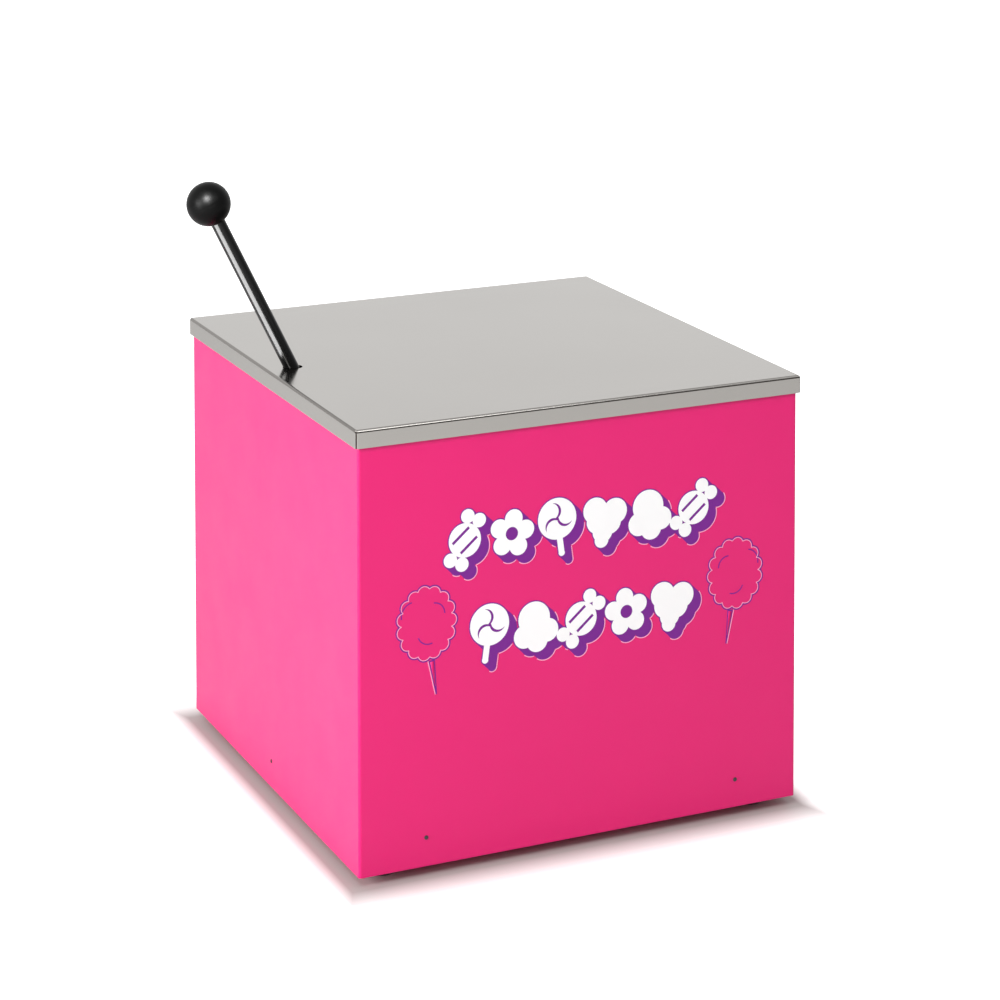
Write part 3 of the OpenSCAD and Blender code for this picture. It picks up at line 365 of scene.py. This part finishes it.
def phenolic_gloss():
    """Polished phenolic: deep black with a faint mottle and light rubbing marks."""
    material, tree, shader = surface("phenolic_gloss", (0.0004, 0.0004, 0.0004, 1.0), 0.38, spread=0.3,
                                     rough_spread=0.04, blotch=120, grain=2500, depth=0.001, edge=0.2)
    rubs = remap(tree, noise(tree, 400, (1, 1, 0.2), 8.0), 0.62, 0.8, 0.0, 0.35)
    recolour(tree, shader, rubs, (0.0025, 0.002, 0.002, 1.0))
    feed(tree, shader.inputs["Specular IOR Level"], 0.13)
    return material


def rod_paint():
    """Black paint on the lever rod, rubbed a little along its length."""
    material, tree, shader = surface("rod_paint", (0.002, 0.002, 0.002, 1.0), 0.2, spread=0.25, blotch=80,
                                     grain=500, depth=0.0006, edge=0.2, ior=1.45)
    rubs = remap(tree, noise(tree, 240, (1, 1, 0.15), 8.0), 0.6, 0.8, 0.0, 0.5)
    recolour(tree, shader, rubs, (0.008, 0.008, 0.008, 1.0))
    feed(tree, shader.inputs["Specular IOR Level"], 0.3)
    return material


def rubber(name, tone):
    """Matt black rubber with paler edges."""
    return surface(name, (tone, tone, tone, 1.0), 0.7, spread=0.25, blotch=90, grain=1600, depth=0.04,
                   edge=0.4, worn=(0.06, 0.06, 0.06, 1.0), ior=1.4)[0]


def vinyl(name, colour, spread=0.04):
    """Printed film: nearly smooth, with a faint ink mottle."""
    return surface(name, colour, 0.35, spread=spread, rough_spread=0.05, blotch=25, grain=1200,
                   depth=0.0015, edge=0.0, ior=1.4)[0]


def heater_ribbon():
    """Resistance alloy, tinted straw to blue by heat."""
    material, tree, shader = surface("heater_ribbon", (0.42, 0.34, 0.24, 1.0), 0.35, metallic=1.0,
                                     spread=0.2, blotch=60, grain=1400, stretch=(1, 1, 0.1), depth=0.01,
                                     edge=0.2, worn=(0.6, 0.55, 0.45, 1.0))
    tint = remap(tree, noise(tree, 45, detail=6.0), 0.45, 0.7, 0.0, 0.7)
    recolour(tree, shader, tint, (0.13, 0.12, 0.2, 1.0))
    return material


def lens(name, colour, rough=0.06, clear=0.92):
    """Clear moulding, or a tinted one where clear is lower."""
    material, tree, shader = plastic(name, colour, rough, ior=1.49, depth=0.003)
    smears = remap(tree, noise(tree, 300), 0.3, 0.7, rough * 0.6, rough * 1.6)
    feed(tree, shader.inputs["Transmission Weight"], clear)
    feed(tree, shader.inputs["Roughness"], smears)
    return material


def two_part(finish, share_of, colour, metallic=None, rough=None):
    """A finish with a second colour where share_of(tree) is 1, such as a brass pin in a rubber plug."""
    material, tree, shader = finish
    share = share_of(tree)
    recolour(tree, shader, share, colour)
    if metallic is not None:
        feed(tree, shader.inputs["Metallic"], compute(tree, "MULTIPLY", share, metallic))
    if rough is not None:
        before = shader.inputs["Roughness"].links[0].from_socket
        kept = compute(tree, "MULTIPLY", before, compute(tree, "SUBTRACT", 1.0, share))
        feed(tree, shader.inputs["Roughness"],
             compute(tree, "ADD", kept, compute(tree, "MULTIPLY", share, rough)))
    return material


# Finishes

pink = powder_coat()
stainless = satin_stainless()
zinc = zinc_plate()
aluminium = spun_aluminium("spun_aluminium")
sugared = spun_aluminium("sugared_aluminium", haze=(0.86, 0.7, 0.76, 1.0))
black_rubber = rubber("rubber", 0.018)
cord_sheath = rubber("cord_sheath", 0.012)
ground_steel = steel("ground_steel", (0.6, 0.61, 0.62, 1.0))
dark_steel = steel("dark_steel", (0.09, 0.09, 0.095, 1.0), 0.42)
motor_paint = painted_steel("motor_paint", (0.05, 0.055, 0.06, 1.0))
lamination = steel("lamination", (0.2, 0.2, 0.21, 1.0), 0.5)
black_plastic = plastic("black_plastic", MOULDED_BLACK)[0]
red_plastic = plastic("red_plastic", (0.5, 0.012, 0.012, 1.0), 0.28)[0]
purple_film = vinyl("purple_film", srgb(118, 22, 140))
white_film = vinyl("white_film", (0.97, 0.97, 0.97, 1.0), 0.012)
pale_film = vinyl("pale_film", srgb(250, 172, 208))
mark_print = vinyl("mark_print", MARK_WHITE)
scale_print = vinyl("scale_print", (0.02, 0.02, 0.02, 1.0))


def plug_finish():
    """Rubber plug with brass blades, which start below the plug's face."""
    blade_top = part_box("power_plug")[0].z + 18 * MM
    return two_part(plastic("plug_rubber", (0.014, 0.014, 0.014, 1.0), 0.55, depth=0.05),
                    lambda tree: below(tree, axis_value(tree, 2), blade_top),
                    BRASS, metallic=1.0, rough=0.25)


def meter_finish():
    """Black case with a cream face behind the lens."""
    face_low, face_high, half = REAR_Y + 2.8 * MM, REAR_Y + 3.9 * MM, 25.9 * MM

    def face(tree):
        off_x = compute(tree, "ABSOLUTE", compute(tree, "SUBTRACT", axis_value(tree, 0), METER_X))
        off_z = compute(tree, "ABSOLUTE", compute(tree, "SUBTRACT", axis_value(tree, 2), CONTROL_Z))
        return all_of(tree,
                      beyond(tree, axis_value(tree, 1), face_low),
                      below(tree, axis_value(tree, 1), face_high),
                      below(tree, off_x, half),
                      below(tree, off_z, half))

    return two_part(plastic("meter_plastic", MOULDED_BLACK), face, (0.75, 0.7, 0.58, 1.0))


def controller_finish():
    """Aluminium heat sink under a black potted module."""
    module_z = 28.6 * MM
    material, tree, shader = surface("controller_metal", (0.62, 0.63, 0.64, 1.0), 0.4, metallic=1.0,
                                     spread=0.1, blotch=40, grain=900, depth=0.01, edge=0.3,
                                     worn=(0.8, 0.8, 0.8, 1.0))
    share = beyond(tree, axis_value(tree, 2), module_z)
    recolour(tree, shader, share, (0.015, 0.015, 0.016, 1.0))
    feed(tree, shader.inputs["Metallic"], compute(tree, "SUBTRACT", 1.0, share))
    return material


def hub_finish():
    """Brown phenolic hub with copper slip rings."""
    hub_r = 16.4 * MM
    return two_part(plastic("hub_phenolic", PHENOLIC_BROWN, 0.4),
                    lambda tree: beyond(tree, from_z_axis(tree), hub_r),
                    COPPER, metallic=1.0, rough=0.2)


def knob_finish():
    """Black knob with its raised pointer in white."""
    pointer_y = REAR_Y + 19.8 * MM
    return two_part(plastic("knob_plastic", MOULDED_BLACK),
                    lambda tree: beyond(tree, axis_value(tree, 1), pointer_y), MARK_WHITE)


def control_finish():
    """Black control body with a nickel bush and nut outside the panel."""
    bush_y = REAR_Y - 4.5 * MM
    return two_part(plastic("control_plastic", (0.015, 0.015, 0.016, 1.0)),
                    lambda tree: beyond(tree, axis_value(tree, 1), bush_y),
                    NICKEL, metallic=1.0, rough=0.25)


FINISH = {
    pink: ("cabinet", "rear_panel", "base_pan"),
    stainless: ("lid",),
    zinc: ("deck_angles", "deck_plate", "latch_strikes", "hinge_cabinet_leaves", "hinge_lid_leaves",
           "shaft_brackets", "latch_hooks", "motor_plate", "panel_screws", "foot_screws"),
    sugared: ("floss_bowl",),
    aluminium: ("spinner_base", "spinner_cap"),
    ground_steel: ("latch_shaft", "shaft_clips", "motor_bearings", "motor_shaft", "head_posts"),
    dark_steel: ("cabinet_rivets", "lid_rivets", "hinge_pins"),
    motor_paint: ("motor_housing", "motor_end_cap"),
    lamination: ("motor_stator", "motor_rotor"),
    black_rubber: ("feet", "lid_bumpers", "motor_isolators"),
    cord_sheath: ("wiring",),
    black_plastic: ("power_switch_case", "heat_switch_case", "breaker_body", "strain_relief", "cord_cleats",
                    "cooling_fan", "heat_rocker"),
    red_plastic: ("power_rocker", "breaker_button", "meter_needle"),
    purple_film: ("decal_purple",),
    white_film: ("decal_white",),
    rod_paint(): ("lever_rod",),
    heater_ribbon(): ("heater_band",),
    plastic("ivory_plastic", (0.7, 0.65, 0.5, 1.0), 0.45)[0]: ("terminal_block",),
    plastic("brown_phenolic", PHENOLIC_BROWN, 0.4)[0]: ("brush_holder",),
    plastic("carbon", (0.03, 0.03, 0.032, 1.0), 0.5, grain=2400, depth=0.03)[0]: ("brushes",),
    knob_finish(): ("heat_knob",),
    hub_finish(): ("slip_ring_hub",),
    plug_finish(): ("power_plug",),
    meter_finish(): ("meter_case",),
    controller_finish(): ("heat_controller",),
    control_finish(): ("heat_control_body",),
    lens("amber_lens", (1.0, 0.33, 0.03, 1.0), 0.12, clear=0.3): ("pilot_lamp",),
    lens("clear_lens", (0.93, 0.96, 0.96, 1.0)): ("meter_lens",),
}

for material, names in FINISH.items():
    for name in names:
        mesh = nodes[name].data
        mesh.materials.clear()
        mesh.materials.append(material)


# Mesh helpers


def add_piece(name, bm, material, body):
    """Puts a bmesh in the scene as a named piece that rides on body. Sharp edges stay sharp."""
    sharp = math.radians(35)
    for face in bm.faces:
        face.smooth = True
    for edge in bm.edges:
        if len(edge.link_faces) == 2 and edge.calc_face_angle() > sharp:
            edge.smooth = False
    mesh = bpy.data.meshes.new(name)
    bm.to_mesh(mesh)
    bm.free()
    mesh.materials.append(material)
    piece = bpy.data.objects.new(name, mesh)
    bpy.context.scene.collection.objects.link(piece)
    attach(piece, body)
    return piece


def lathe(bm, profile, matrix, segments=96):
    """Turns (radius, height) points round the local Z axis. A point on the axis closes the shape."""
    rings = []
    for radius, height in profile:
        if radius < 1e-6:
            rings.append([bm.verts.new(matrix @ Vector((0, 0, height)))])
            continue
        turn = [2 * math.pi * i / segments for i in range(segments)]
        ring = [Vector((radius * math.cos(a), radius * math.sin(a), height)) for a in turn]
        rings.append([bm.verts.new(matrix @ p) for p in ring])
    for lower, upper in zip(rings, rings[1:]):
        for i in range(segments):
            j = (i + 1) % segments
            near = [lower[i % len(lower)], lower[j % len(lower)]]
            far = [upper[j % len(upper)], upper[i % len(upper)]]
            bm.faces.new(list(dict.fromkeys(near + far)))


def slab(bm, outline, thick, matrix):
    """A flat shape given by its outline, thick along local Z, with its base at local Z 0."""
    low = [bm.verts.new(matrix @ Vector((x, y, 0))) for x, y in outline]
    high = [bm.verts.new(matrix @ Vector((x, y, thick))) for x, y in outline]
    bm.faces.new(list(reversed(low)))
    bm.faces.new(high)
    for i in range(len(outline)):
        j = (i + 1) % len(outline)
        bm.faces.new([low[i], low[j], high[j], high[i]])


def bar(bm, width, base, long, thick, matrix):
    """A flat bar along local Y that starts at base."""
    half = width / 2
    slab(bm, [(-half, base), (half, base), (half, base + long), (-half, base + long)], thick, matrix)


def ticks(bm, matrix, half_angle, radius, width, short, long):
    """Eleven ticks spread over half_angle on each side of local Y, every fifth one long."""
    count = 11
    for i in range(count):
        turn = Matrix.Rotation(half_angle * (1 - 2 * i / (count - 1)), 4, "Z")
        bar(bm, width, radius, long if i % 5 == 0 else short, PRINT_THICK, matrix @ turn)


def sweep(bm, path, radius, sides=24, flatten=None):
    """A round tube along a list of points, closed at both ends. Flatten is (axis, factor) for a ribbon."""
    count = len(path)
    side = None
    rings = []
    for i, point in enumerate(path):
        ahead = (path[min(i + 1, count - 1)] - path[max(i - 1, 0)]).normalized()
        if side is None:
            side = ahead.orthogonal().normalized()
        side = (side - ahead * side.dot(ahead)).normalized()
        other = ahead.cross(side)
        ring = []
        for k in range(sides):
            a = 2 * math.pi * k / sides
            step = (side * math.cos(a) + other * math.sin(a)) * radius
            if flatten is not None:
                step[flatten[0]] *= flatten[1]
            ring.append(bm.verts.new(point + step))
        rings.append(ring)
    for lower, upper in zip(rings, rings[1:]):
        for k in range(sides):
            m = (k + 1) % sides
            bm.faces.new([lower[k], lower[m], upper[m], upper[k]])
    bm.faces.new(list(reversed(rings[0])))
    bm.faces.new(rings[-1])


def arc(centre, first, second, start, end, steps=24):
    """Points on an arc: first and second are its two axes, as vectors as long as the radius."""
    angles = [math.radians(start + (end - start) * i / steps) for i in range(steps + 1)]
    return [centre + first * math.cos(a) + second * math.sin(a) for a in angles]


def on_rear(x, z):
    """Matrix for a shape on the rear panel: seen from behind, local X is right, Y up and Z outward."""
    turn = Matrix(((-1, 0, 0, 0), (0, 0, 1, 0), (0, 1, 0, 0), (0, 0, 0, 1)))
    return Matrix.Translation((x, REAR_Y, z)) @ turn


# Ball knob


def ball_knob():
    """Turned ball with a flat seat and a fine moulding line round its middle."""
    seat_angle = math.asin((ROD_R + 0.6 * MM) / BALL_R)
    steps = 72
    profile = [(0.0, -math.cos(seat_angle) * BALL_R)]
    for i in range(steps):
        a = seat_angle + (math.pi - seat_angle) * i / steps
        reach = BALL_R - (0.12 * MM if i == steps // 2 else 0)
        profile.append((reach * math.sin(a), -reach * math.cos(a)))
    profile.append((0.0, BALL_R))
    matrix = Matrix.Translation(PIVOT) @ Matrix.Rotation(-LEVER_LEAN, 4, "Y")
    bm = bmesh.new()
    lathe(bm, profile, matrix @ Matrix.Translation((0, 0, LEVER_REACH)), 128)
    knob = add_piece("ball_knob", bm, phenolic_gloss(), "lever_body")
    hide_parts("lever_knob")


# Power cord


def power_cord():
    """One smooth cord from the strain relief, round the cleats and down to the plug."""
    cord_r, coil_r, coil_x, turn_r = 4.5 * MM, 40 * MM, 60 * MM, 22 * MM
    turns, pitch, steps = 3, 9.6 * MM, 40
    coil_y = REAR_Y + 18.5 * MM
    bend_y = REAR_Y + 6 * MM
    out = coil_y - bend_y
    relief = sum(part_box("strain_relief"), Vector()) / 2
    coil_z = sum(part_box("cord_cleats"), Vector()).z / 2
    tail_x = sum(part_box("power_plug"), Vector()).x / 2
    x_axis, y_axis, z_axis = Matrix.Identity(3)
    side, rise = x_axis * coil_r, z_axis * coil_r
    corner_x, corner_z = x_axis * turn_r, z_axis * turn_r

    path = [Vector((relief.x, REAR_Y - 16 * MM, relief.z))]
    path += arc(Vector((relief.x, bend_y, relief.z + out)), y_axis * out, -z_axis * out, 90, 0)
    first_corner = Vector((relief.x - turn_r, coil_y, coil_z + coil_r - turn_r))
    path += arc(first_corner, corner_x, corner_z, 0, 90)
    for i in range(turns):
        y = coil_y + pitch * i
        path += arc(Vector((-coil_x, y, coil_z)), -side, rise, 90, -90, steps)
        if i < turns - 1:
            half = arc(Vector((coil_x, y, coil_z)), side, rise, -90, 90, steps)
            path += [p + y_axis * pitch * k / steps for k, p in enumerate(half)]
    last_corner = Vector((tail_x - turn_r, y, coil_z - coil_r - turn_r))
    path += arc(last_corner, corner_x, corner_z, 90, 0)

    bm = bmesh.new()
    sweep(bm, path, cord_r)
    cord = add_piece("cord_sheathing", bm, cord_sheath, "cabinet_body")
    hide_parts("power_cord")


# Printed marks


def knob_marks():
    """Ticks round the heat knob."""
    bm = bmesh.new()
    ticks(bm, on_rear(KNOB_X, CONTROL_Z), math.radians(135), 23 * MM, 0.8 * MM, 3 * MM, 4.5 * MM)
    add_piece("knob_scale", bm, mark_print, "cabinet_body")


def meter_marks():
    """Plain scale on the meter's face: an arc with eleven ticks."""
    half_angle, scale_r, line, steps = math.radians(45), 30 * MM, 0.4 * MM, 30
    bm = bmesh.new()
    face = on_rear(METER_X, CONTROL_Z) @ Matrix.Translation((0, -16 * MM, 3.6 * MM))
    ticks(bm, face, half_angle, scale_r, 0.5 * MM, 2.4 * MM, 4 * MM)
    turns = [half_angle * (1 - 2 * i / steps) for i in range(steps + 1)]
    outer = [(scale_r * math.sin(a), scale_r * math.cos(a)) for a in turns]
    inner = [((scale_r - line) * math.sin(a), (scale_r - line) * math.cos(a)) for a in reversed(turns)]
    slab(bm, outer + inner, PRINT_THICK, face)
    add_piece("meter_scale", bm, scale_print, "cabinet_body")


def rocker_marks(name, x, body):
    """A bar and a ring on the two halves of a rocker."""
    tilt = math.radians(10)
    slope = math.atan2(1.65, 11.2)
    half_len, facet_z, sunk, proud = 6 * MM, 4.17 * MM, -0.02 * MM, 0.08 * MM
    ring_in, ring_out = 1.3 * MM, 2 * MM
    rocker = on_rear(x, CONTROL_Z) @ Matrix.Rotation(tilt, 4, "X")

    def facet(side):
        middle = Matrix.Translation((0, side * half_len, facet_z))
        return rocker @ middle @ Matrix.Rotation(-side * slope, 4, "X")

    bm = bmesh.new()
    bar(bm, 0.7 * MM, -2 * MM, 4 * MM, proud, facet(-1))
    section = [(ring_in, sunk), (ring_in, proud), (ring_out, proud), (ring_out, sunk), (ring_in, sunk)]
    lathe(bm, section, facet(1), 40)
    add_piece(name, bm, mark_print, body)


# Front graphic: the pale lines beside the printed shapes. Points are in millimetres on the front.

PITCH = 53
ROW_HEIGHTS = (330, 229)
SWAY = 8
DROP = Vector((8, -8))
PRINT_EDGE = 1.2
WRAPPED, BLOSSOM, LOLLIPOP, HEART, PUFF = range(5)
ROWS = ((WRAPPED, BLOSSOM, LOLLIPOP, HEART, PUFF, WRAPPED), (LOLLIPOP, PUFF, WRAPPED, BLOSSOM, HEART))
FLOSS_PLACES = ((Vector((-179, 253.5)), 1), (Vector((179, 256)), -1))
FLOSS_LOBES = 15
FLOSS_RX = 26.2
FLOSS_RZ = 31.7
LOBE_R = 8.8
CONE_TILT = 8
CONE_TOP = 1 - FLOSS_RZ - LOBE_R
CONE_TIP = -76


def turned(x, y, degrees):
    """The point turned about the middle of its shape."""
    a = math.radians(degrees)
    return Vector((x * math.cos(a) - y * math.sin(a), x * math.sin(a) + y * math.cos(a)))


def sweet_discs(kind, angle):
    """The discs that make up a printed sweet, as (centre, radius)."""
    middle = Vector((0, 0))
    if kind == WRAPPED:
        ends = [(turned(s * 24, e * 7, angle + 58), 7.5) for s in (-1, 1) for e in (-1, 1)]
        return [(middle, 18)] + ends
    if kind == BLOSSOM:
        petals = [(turned(0, 15.5, angle + 72 * i), 10) for i in range(5)]
        return [(middle, 12)] + petals
    if kind == LOLLIPOP:
        stick = [(turned(0, -10 - 2 * i, angle), 3.5) for i in range(10)]
        return [(turned(0, 9, angle), 22)] + stick
    if kind == HEART:
        lobes = [(turned(s * 11.5, 10, angle), 14) for s in (-1, 1)]
        sides = [(turned(s * 6.5, -1, angle), 13.5) for s in (-1, 1)]
        return lobes + sides + [(turned(0, -12, angle), 11.5), (turned(0, -21, angle), 8)]
    low = [(turned(s * 13, -8, angle), 12.5) for s in (-1, 1)]
    return [(turned(0, 8, angle), 18)] + low + [(turned(0, -16, angle), 12)]


def from_segment(point, start, end):
    """Distance of a point from the line between start and end."""
    run = end - start
    share = max(0.0, min(1.0, (point - start).dot(run) / max(run.length_squared, 1e-9)))
    return (point - start - run * share).length


def outline_runs(discs, drop, margin, only_low):
    """Runs of points just outside the joined discs, and beside the shadow that drop adds to them.
    With only_low, the runs keep to the side that faces the drop."""
    steps, shortest, slack, least_facing = 120, 4, 0.05, 0.15
    runs = []
    for centre, radius in discs:
        run = []
        for k in range(steps + 1):
            outward = turned(1, 0, 360 * k / steps)
            point = centre + drop + outward * (radius + margin)
            free = all(from_segment(point, c, c + drop) > r + margin - slack for c, r in discs)
            if free and (not only_low or outward.dot(DROP.normalized()) > least_facing):
                run.append(point)
            else:
                runs.append(run)
                run = []
        runs.append(run)
    return [run for run in runs if len(run) >= shortest]


def draw_runs(bm, runs, width):
    """Draws each run as a low line on the front."""
    line_y = FRONT_Y - 0.12 * MM
    for run in runs:
        path = [Vector((p.x * MM, line_y, p.y * MM)) for p in run]
        sweep(bm, path, width / 2 * MM, sides=8, flatten=(1, 0.25))


def sweet_lights():
    """Pale line along the lower right edge of every sweet's shadow."""
    discs = []
    for row, kinds in enumerate(ROWS):
        for i, kind in enumerate(kinds):
            angle = SWAY if i % 2 == row else -SWAY
            middle = Vector(((i - (len(kinds) - 1) / 2) * PITCH, ROW_HEIGHTS[row])) - DROP / 2
            discs += [(c + middle, r) for c, r in sweet_discs(kind, angle)]
    bm = bmesh.new()
    draw_runs(bm, outline_runs(discs, DROP, PRINT_EDGE + 0.6, True), 1.0)
    add_piece("sweet_lights", bm, pale_film, "cabinet_body")


def floss_lights():
    """Pale line inside the outline of each floss, and beside its cone."""
    inset, still, steps = 2.4, Vector((0, 0)), 12
    bm = bmesh.new()
    for middle, mirror in FLOSS_PLACES:
        turns = [2 * math.pi * i / FLOSS_LOBES for i in range(FLOSS_LOBES)]
        rim = [Vector((mirror * FLOSS_RX * math.cos(a), FLOSS_RZ * math.sin(a))) for a in turns]
        discs = [(middle + p, LOBE_R - inset) for p in rim]
        for s in (-1, 0, 1):
            discs.append((middle + Vector((0, s * (FLOSS_RZ - FLOSS_RX))), FLOSS_RX - inset))
        draw_runs(bm, outline_runs(discs, still, 0.55, False), 0.8)
        shares = [k / steps for k in range(steps + 1)]
        edge = [turned(-4.3 + 3 * t, CONE_TOP + (CONE_TIP - CONE_TOP) * t, CONE_TILT) for t in shares]
        draw_runs(bm, [[middle + Vector((mirror * p.x, p.y)) for p in edge]], 0.9)
    add_piece("floss_lights", bm, pale_film, "cabinet_body")


def cone_faces():
    """Pink middle of each cone, so that only an outline of its purple shows."""
    on_front = Matrix(((1, 0, 0, 0), (0, 0, -1, FRONT_Y), (0, 1, 0, 0), (0, 0, 0, 1)))
    top, tip, top_half, tip_half = CONE_TOP - 1.5, CONE_TIP + 9, 2.1, 0.3
    corners = ((-top_half, top), (-tip_half, tip), (tip_half, tip), (top_half, top))
    bm = bmesh.new()
    for middle, mirror in FLOSS_PLACES:
        leaning = [turned(x, y, CONE_TILT) for x, y in corners]
        outline = [(middle + Vector((mirror * p.x, p.y))) * MM for p in leaning]
        slab(bm, outline[::mirror], 2 * PRINT_THICK, on_front)
    add_piece("cone_faces", bm, vinyl("pink_film", PINK), "cabinet_body")


ball_knob()
power_cord()
knob_marks()
meter_marks()
rocker_marks("power_rocker_marks", POWER_SWITCH_X, "power_rocker_body")
rocker_marks("heat_rocker_marks", HEAT_SWITCH_X, "heat_rocker_body")
sweet_lights()
floss_lights()
cone_faces()


# Studio


def floor_paper():
    """Paper that the camera sees as pure white, apart from a narrow shadow along the cabinet's foot, where
    the real shadow is deepened by a painted shadow in the paper's colour.
    """
    shadow_start, side_shadow, front_shadow = 262 * MM, 30 * MM, 73 * MM
    white = (1.0, 1.0, 1.0, 1.0)
    material = bpy.data.materials.new("floor_paper")
    material.use_nodes = True
    tree = material.node_tree
    shader = tree.nodes["Principled BSDF"]
    off_x = compute(tree, "ABSOLUTE", axis_value(tree, 0))
    off_y = compute(tree, "ABSOLUTE", axis_value(tree, 1))
    beside = remap(tree, off_x, shadow_start, shadow_start + side_shadow, 0.0, 1.0)
    ahead = remap(tree, off_y, shadow_start, shadow_start + front_shadow, 0.0, 1.0)
    lift = compute(tree, "MAXIMUM", beside, ahead)
    paper = mix(tree, noise(tree, 3, detail=2.0), (0.8, 0.8, 0.8, 1.0), (0.83, 0.83, 0.83, 1.0))
    path = tree.nodes.new("ShaderNodeLightPath")
    seen = compute(tree, "MULTIPLY", lift, path.outputs["Is Camera Ray"])
    mirrored = compute(tree, "MULTIPLY", 0.22, path.outputs["Is Glossy Ray"])
    # Painted shadow: the paper's colour darkens towards the cabinet's foot.
    feed(tree, shader.inputs["Base Color"], mix(tree, lift, (0.5, 0.46, 0.45, 1.0), paper))
    feed(tree, shader.inputs["Roughness"], 0.8)
    feed(tree, shader.inputs["Emission Color"], white)
    feed(tree, shader.inputs["Emission Strength"], compute(tree, "ADD", seen, mirrored))
    return material


def floor(cam):
    """Floor under the feet. It goes away for a camera that looks up from below it."""
    half, cuts = 9.0, 6
    bm = bmesh.new()
    bmesh.ops.create_grid(bm, x_segments=cuts, y_segments=cuts, size=half)
    bmesh.ops.translate(bm, vec=(0, 0, cad_low.z), verts=bm.verts)
    mesh = bpy.data.meshes.new("floor")
    bm.to_mesh(mesh)
    bm.free()
    mesh.materials.append(floor_paper())
    piece = bpy.data.objects.new("floor", mesh)
    bpy.context.scene.collection.objects.link(piece)
    follow_camera(piece, "hide_render", cam, "Z", f"at < {cad_low.z}")


def soft_light(name, spot, target, size, power, only=None, skip=None):
    """An oval soft box aimed at target. It lights only the one piece, or all but the one to skip."""
    data = bpy.data.lights.new(name, "AREA")
    data.shape = "ELLIPSE"
    data.size, data.size_y = size
    data.energy = power
    light = bpy.data.objects.new(name, data)
    light.location = spot
    light.rotation_euler = (Vector(target) - Vector(spot)).to_track_quat("-Z", "Y").to_euler()
    light.visible_camera = False
    bpy.context.scene.collection.objects.link(light)
    if only or skip:
        lit = bpy.data.collections.new(name + "_receivers")
        lit.objects.link(only or skip)
        if skip:
            lit.collection_objects[0].light_linking.link_state = "EXCLUDE"
        light.light_linking.receiver_collection = lit


def studio_air():
    """Light from all round, brighter behind the machine and dimmer overhead, and white to the camera."""
    world = bpy.data.worlds.new("studio")
    bpy.context.scene.world = world
    world.use_nodes = True
    tree = world.node_tree
    background = tree.nodes["Background"]
    coords = tree.nodes.new("ShaderNodeTexCoord")
    split = tree.nodes.new("ShaderNodeSeparateXYZ")
    tree.links.new(coords.outputs["Generated"], split.inputs[0])
    behind = remap(tree, split.outputs[1], -0.25, 0.55, 0.42, 0.98)
    glow = compute(tree, "MULTIPLY", behind, remap(tree, split.outputs[2], 0.45, 1.0, 1.0, 0.6))
    path = tree.nodes.new("ShaderNodeLightPath")
    air = mix(tree, path.outputs["Is Camera Ray"], glow, (1.0, 1.0, 1.0, 1.0))
    feed(tree, background.inputs["Color"], air)


def follow_camera(owner, setting, cam, axis, expression):
    """Drives a setting by one coordinate of the camera, which the expression calls at."""
    driver = owner.driver_add(setting).driver
    driver.type = "SCRIPTED"
    spot = driver.variables.new()
    spot.name = "at"
    spot.type = "TRANSFORMS"
    spot.targets[0].id = cam
    spot.targets[0].transform_type = "LOC_" + axis
    spot.targets[0].transform_space = "WORLD_SPACE"
    driver.expression = expression


def camera():
    """Camera with a lens shift that holds only while it stands where the main view puts it."""
    data = bpy.data.cameras.new("camera")
    cam = bpy.data.objects.new("camera", data)
    bpy.context.scene.collection.objects.link(cam)
    cam.location = (-1.33833, -3.01137, 1.29096)
    turn, drop = math.radians(-24.903), math.radians(3.422)
    level = math.cos(drop)
    ahead = Vector((-math.sin(turn) * level, math.cos(turn) * level, -math.sin(drop)))
    cam.rotation_euler = ahead.to_track_quat("-Z", "Y").to_euler()
    data.lens, data.sensor_width = 107.254, 36.0
    data.clip_start, data.clip_end = 0.1, 60
    for setting, value in (("shift_x", -0.03159), ("shift_y", -0.71693)):
        follow_camera(data, setting, cam, "X", f"{value} * (abs(at - {cam.location.x}) < 0.001)")
    bpy.context.scene.camera = cam
    return cam


floor(camera())
studio_air()
soft_light("key_light", (-3.2, -1.0, 1.2), (0, 0, 0.25), (1.6, 1.6), 112, skip=nodes["lid"])
soft_light("top_light", (0.3, -1.9, 2.5), (0, 0, 0.4), (1.8, 1.0), 10)
soft_light("flash_light", (-1.45, -2.2, 2.45), (0, 0, 0.3), (0.8, 0.8), 22)
soft_light("rod_light", (-0.66, -0.27, 0.12), (-0.28, 0, 0.56), (0.68, 0.68), 32,
           only=nodes["lever_rod"])
soft_light("knob_light", (-1.18, -1.48, 2.03), (-0.32, 0, 0.65), (0.7, 0.7), 260,
           only=bpy.data.objects["ball_knob"])
bpy.context.scene.view_settings.view_transform = "Standard"
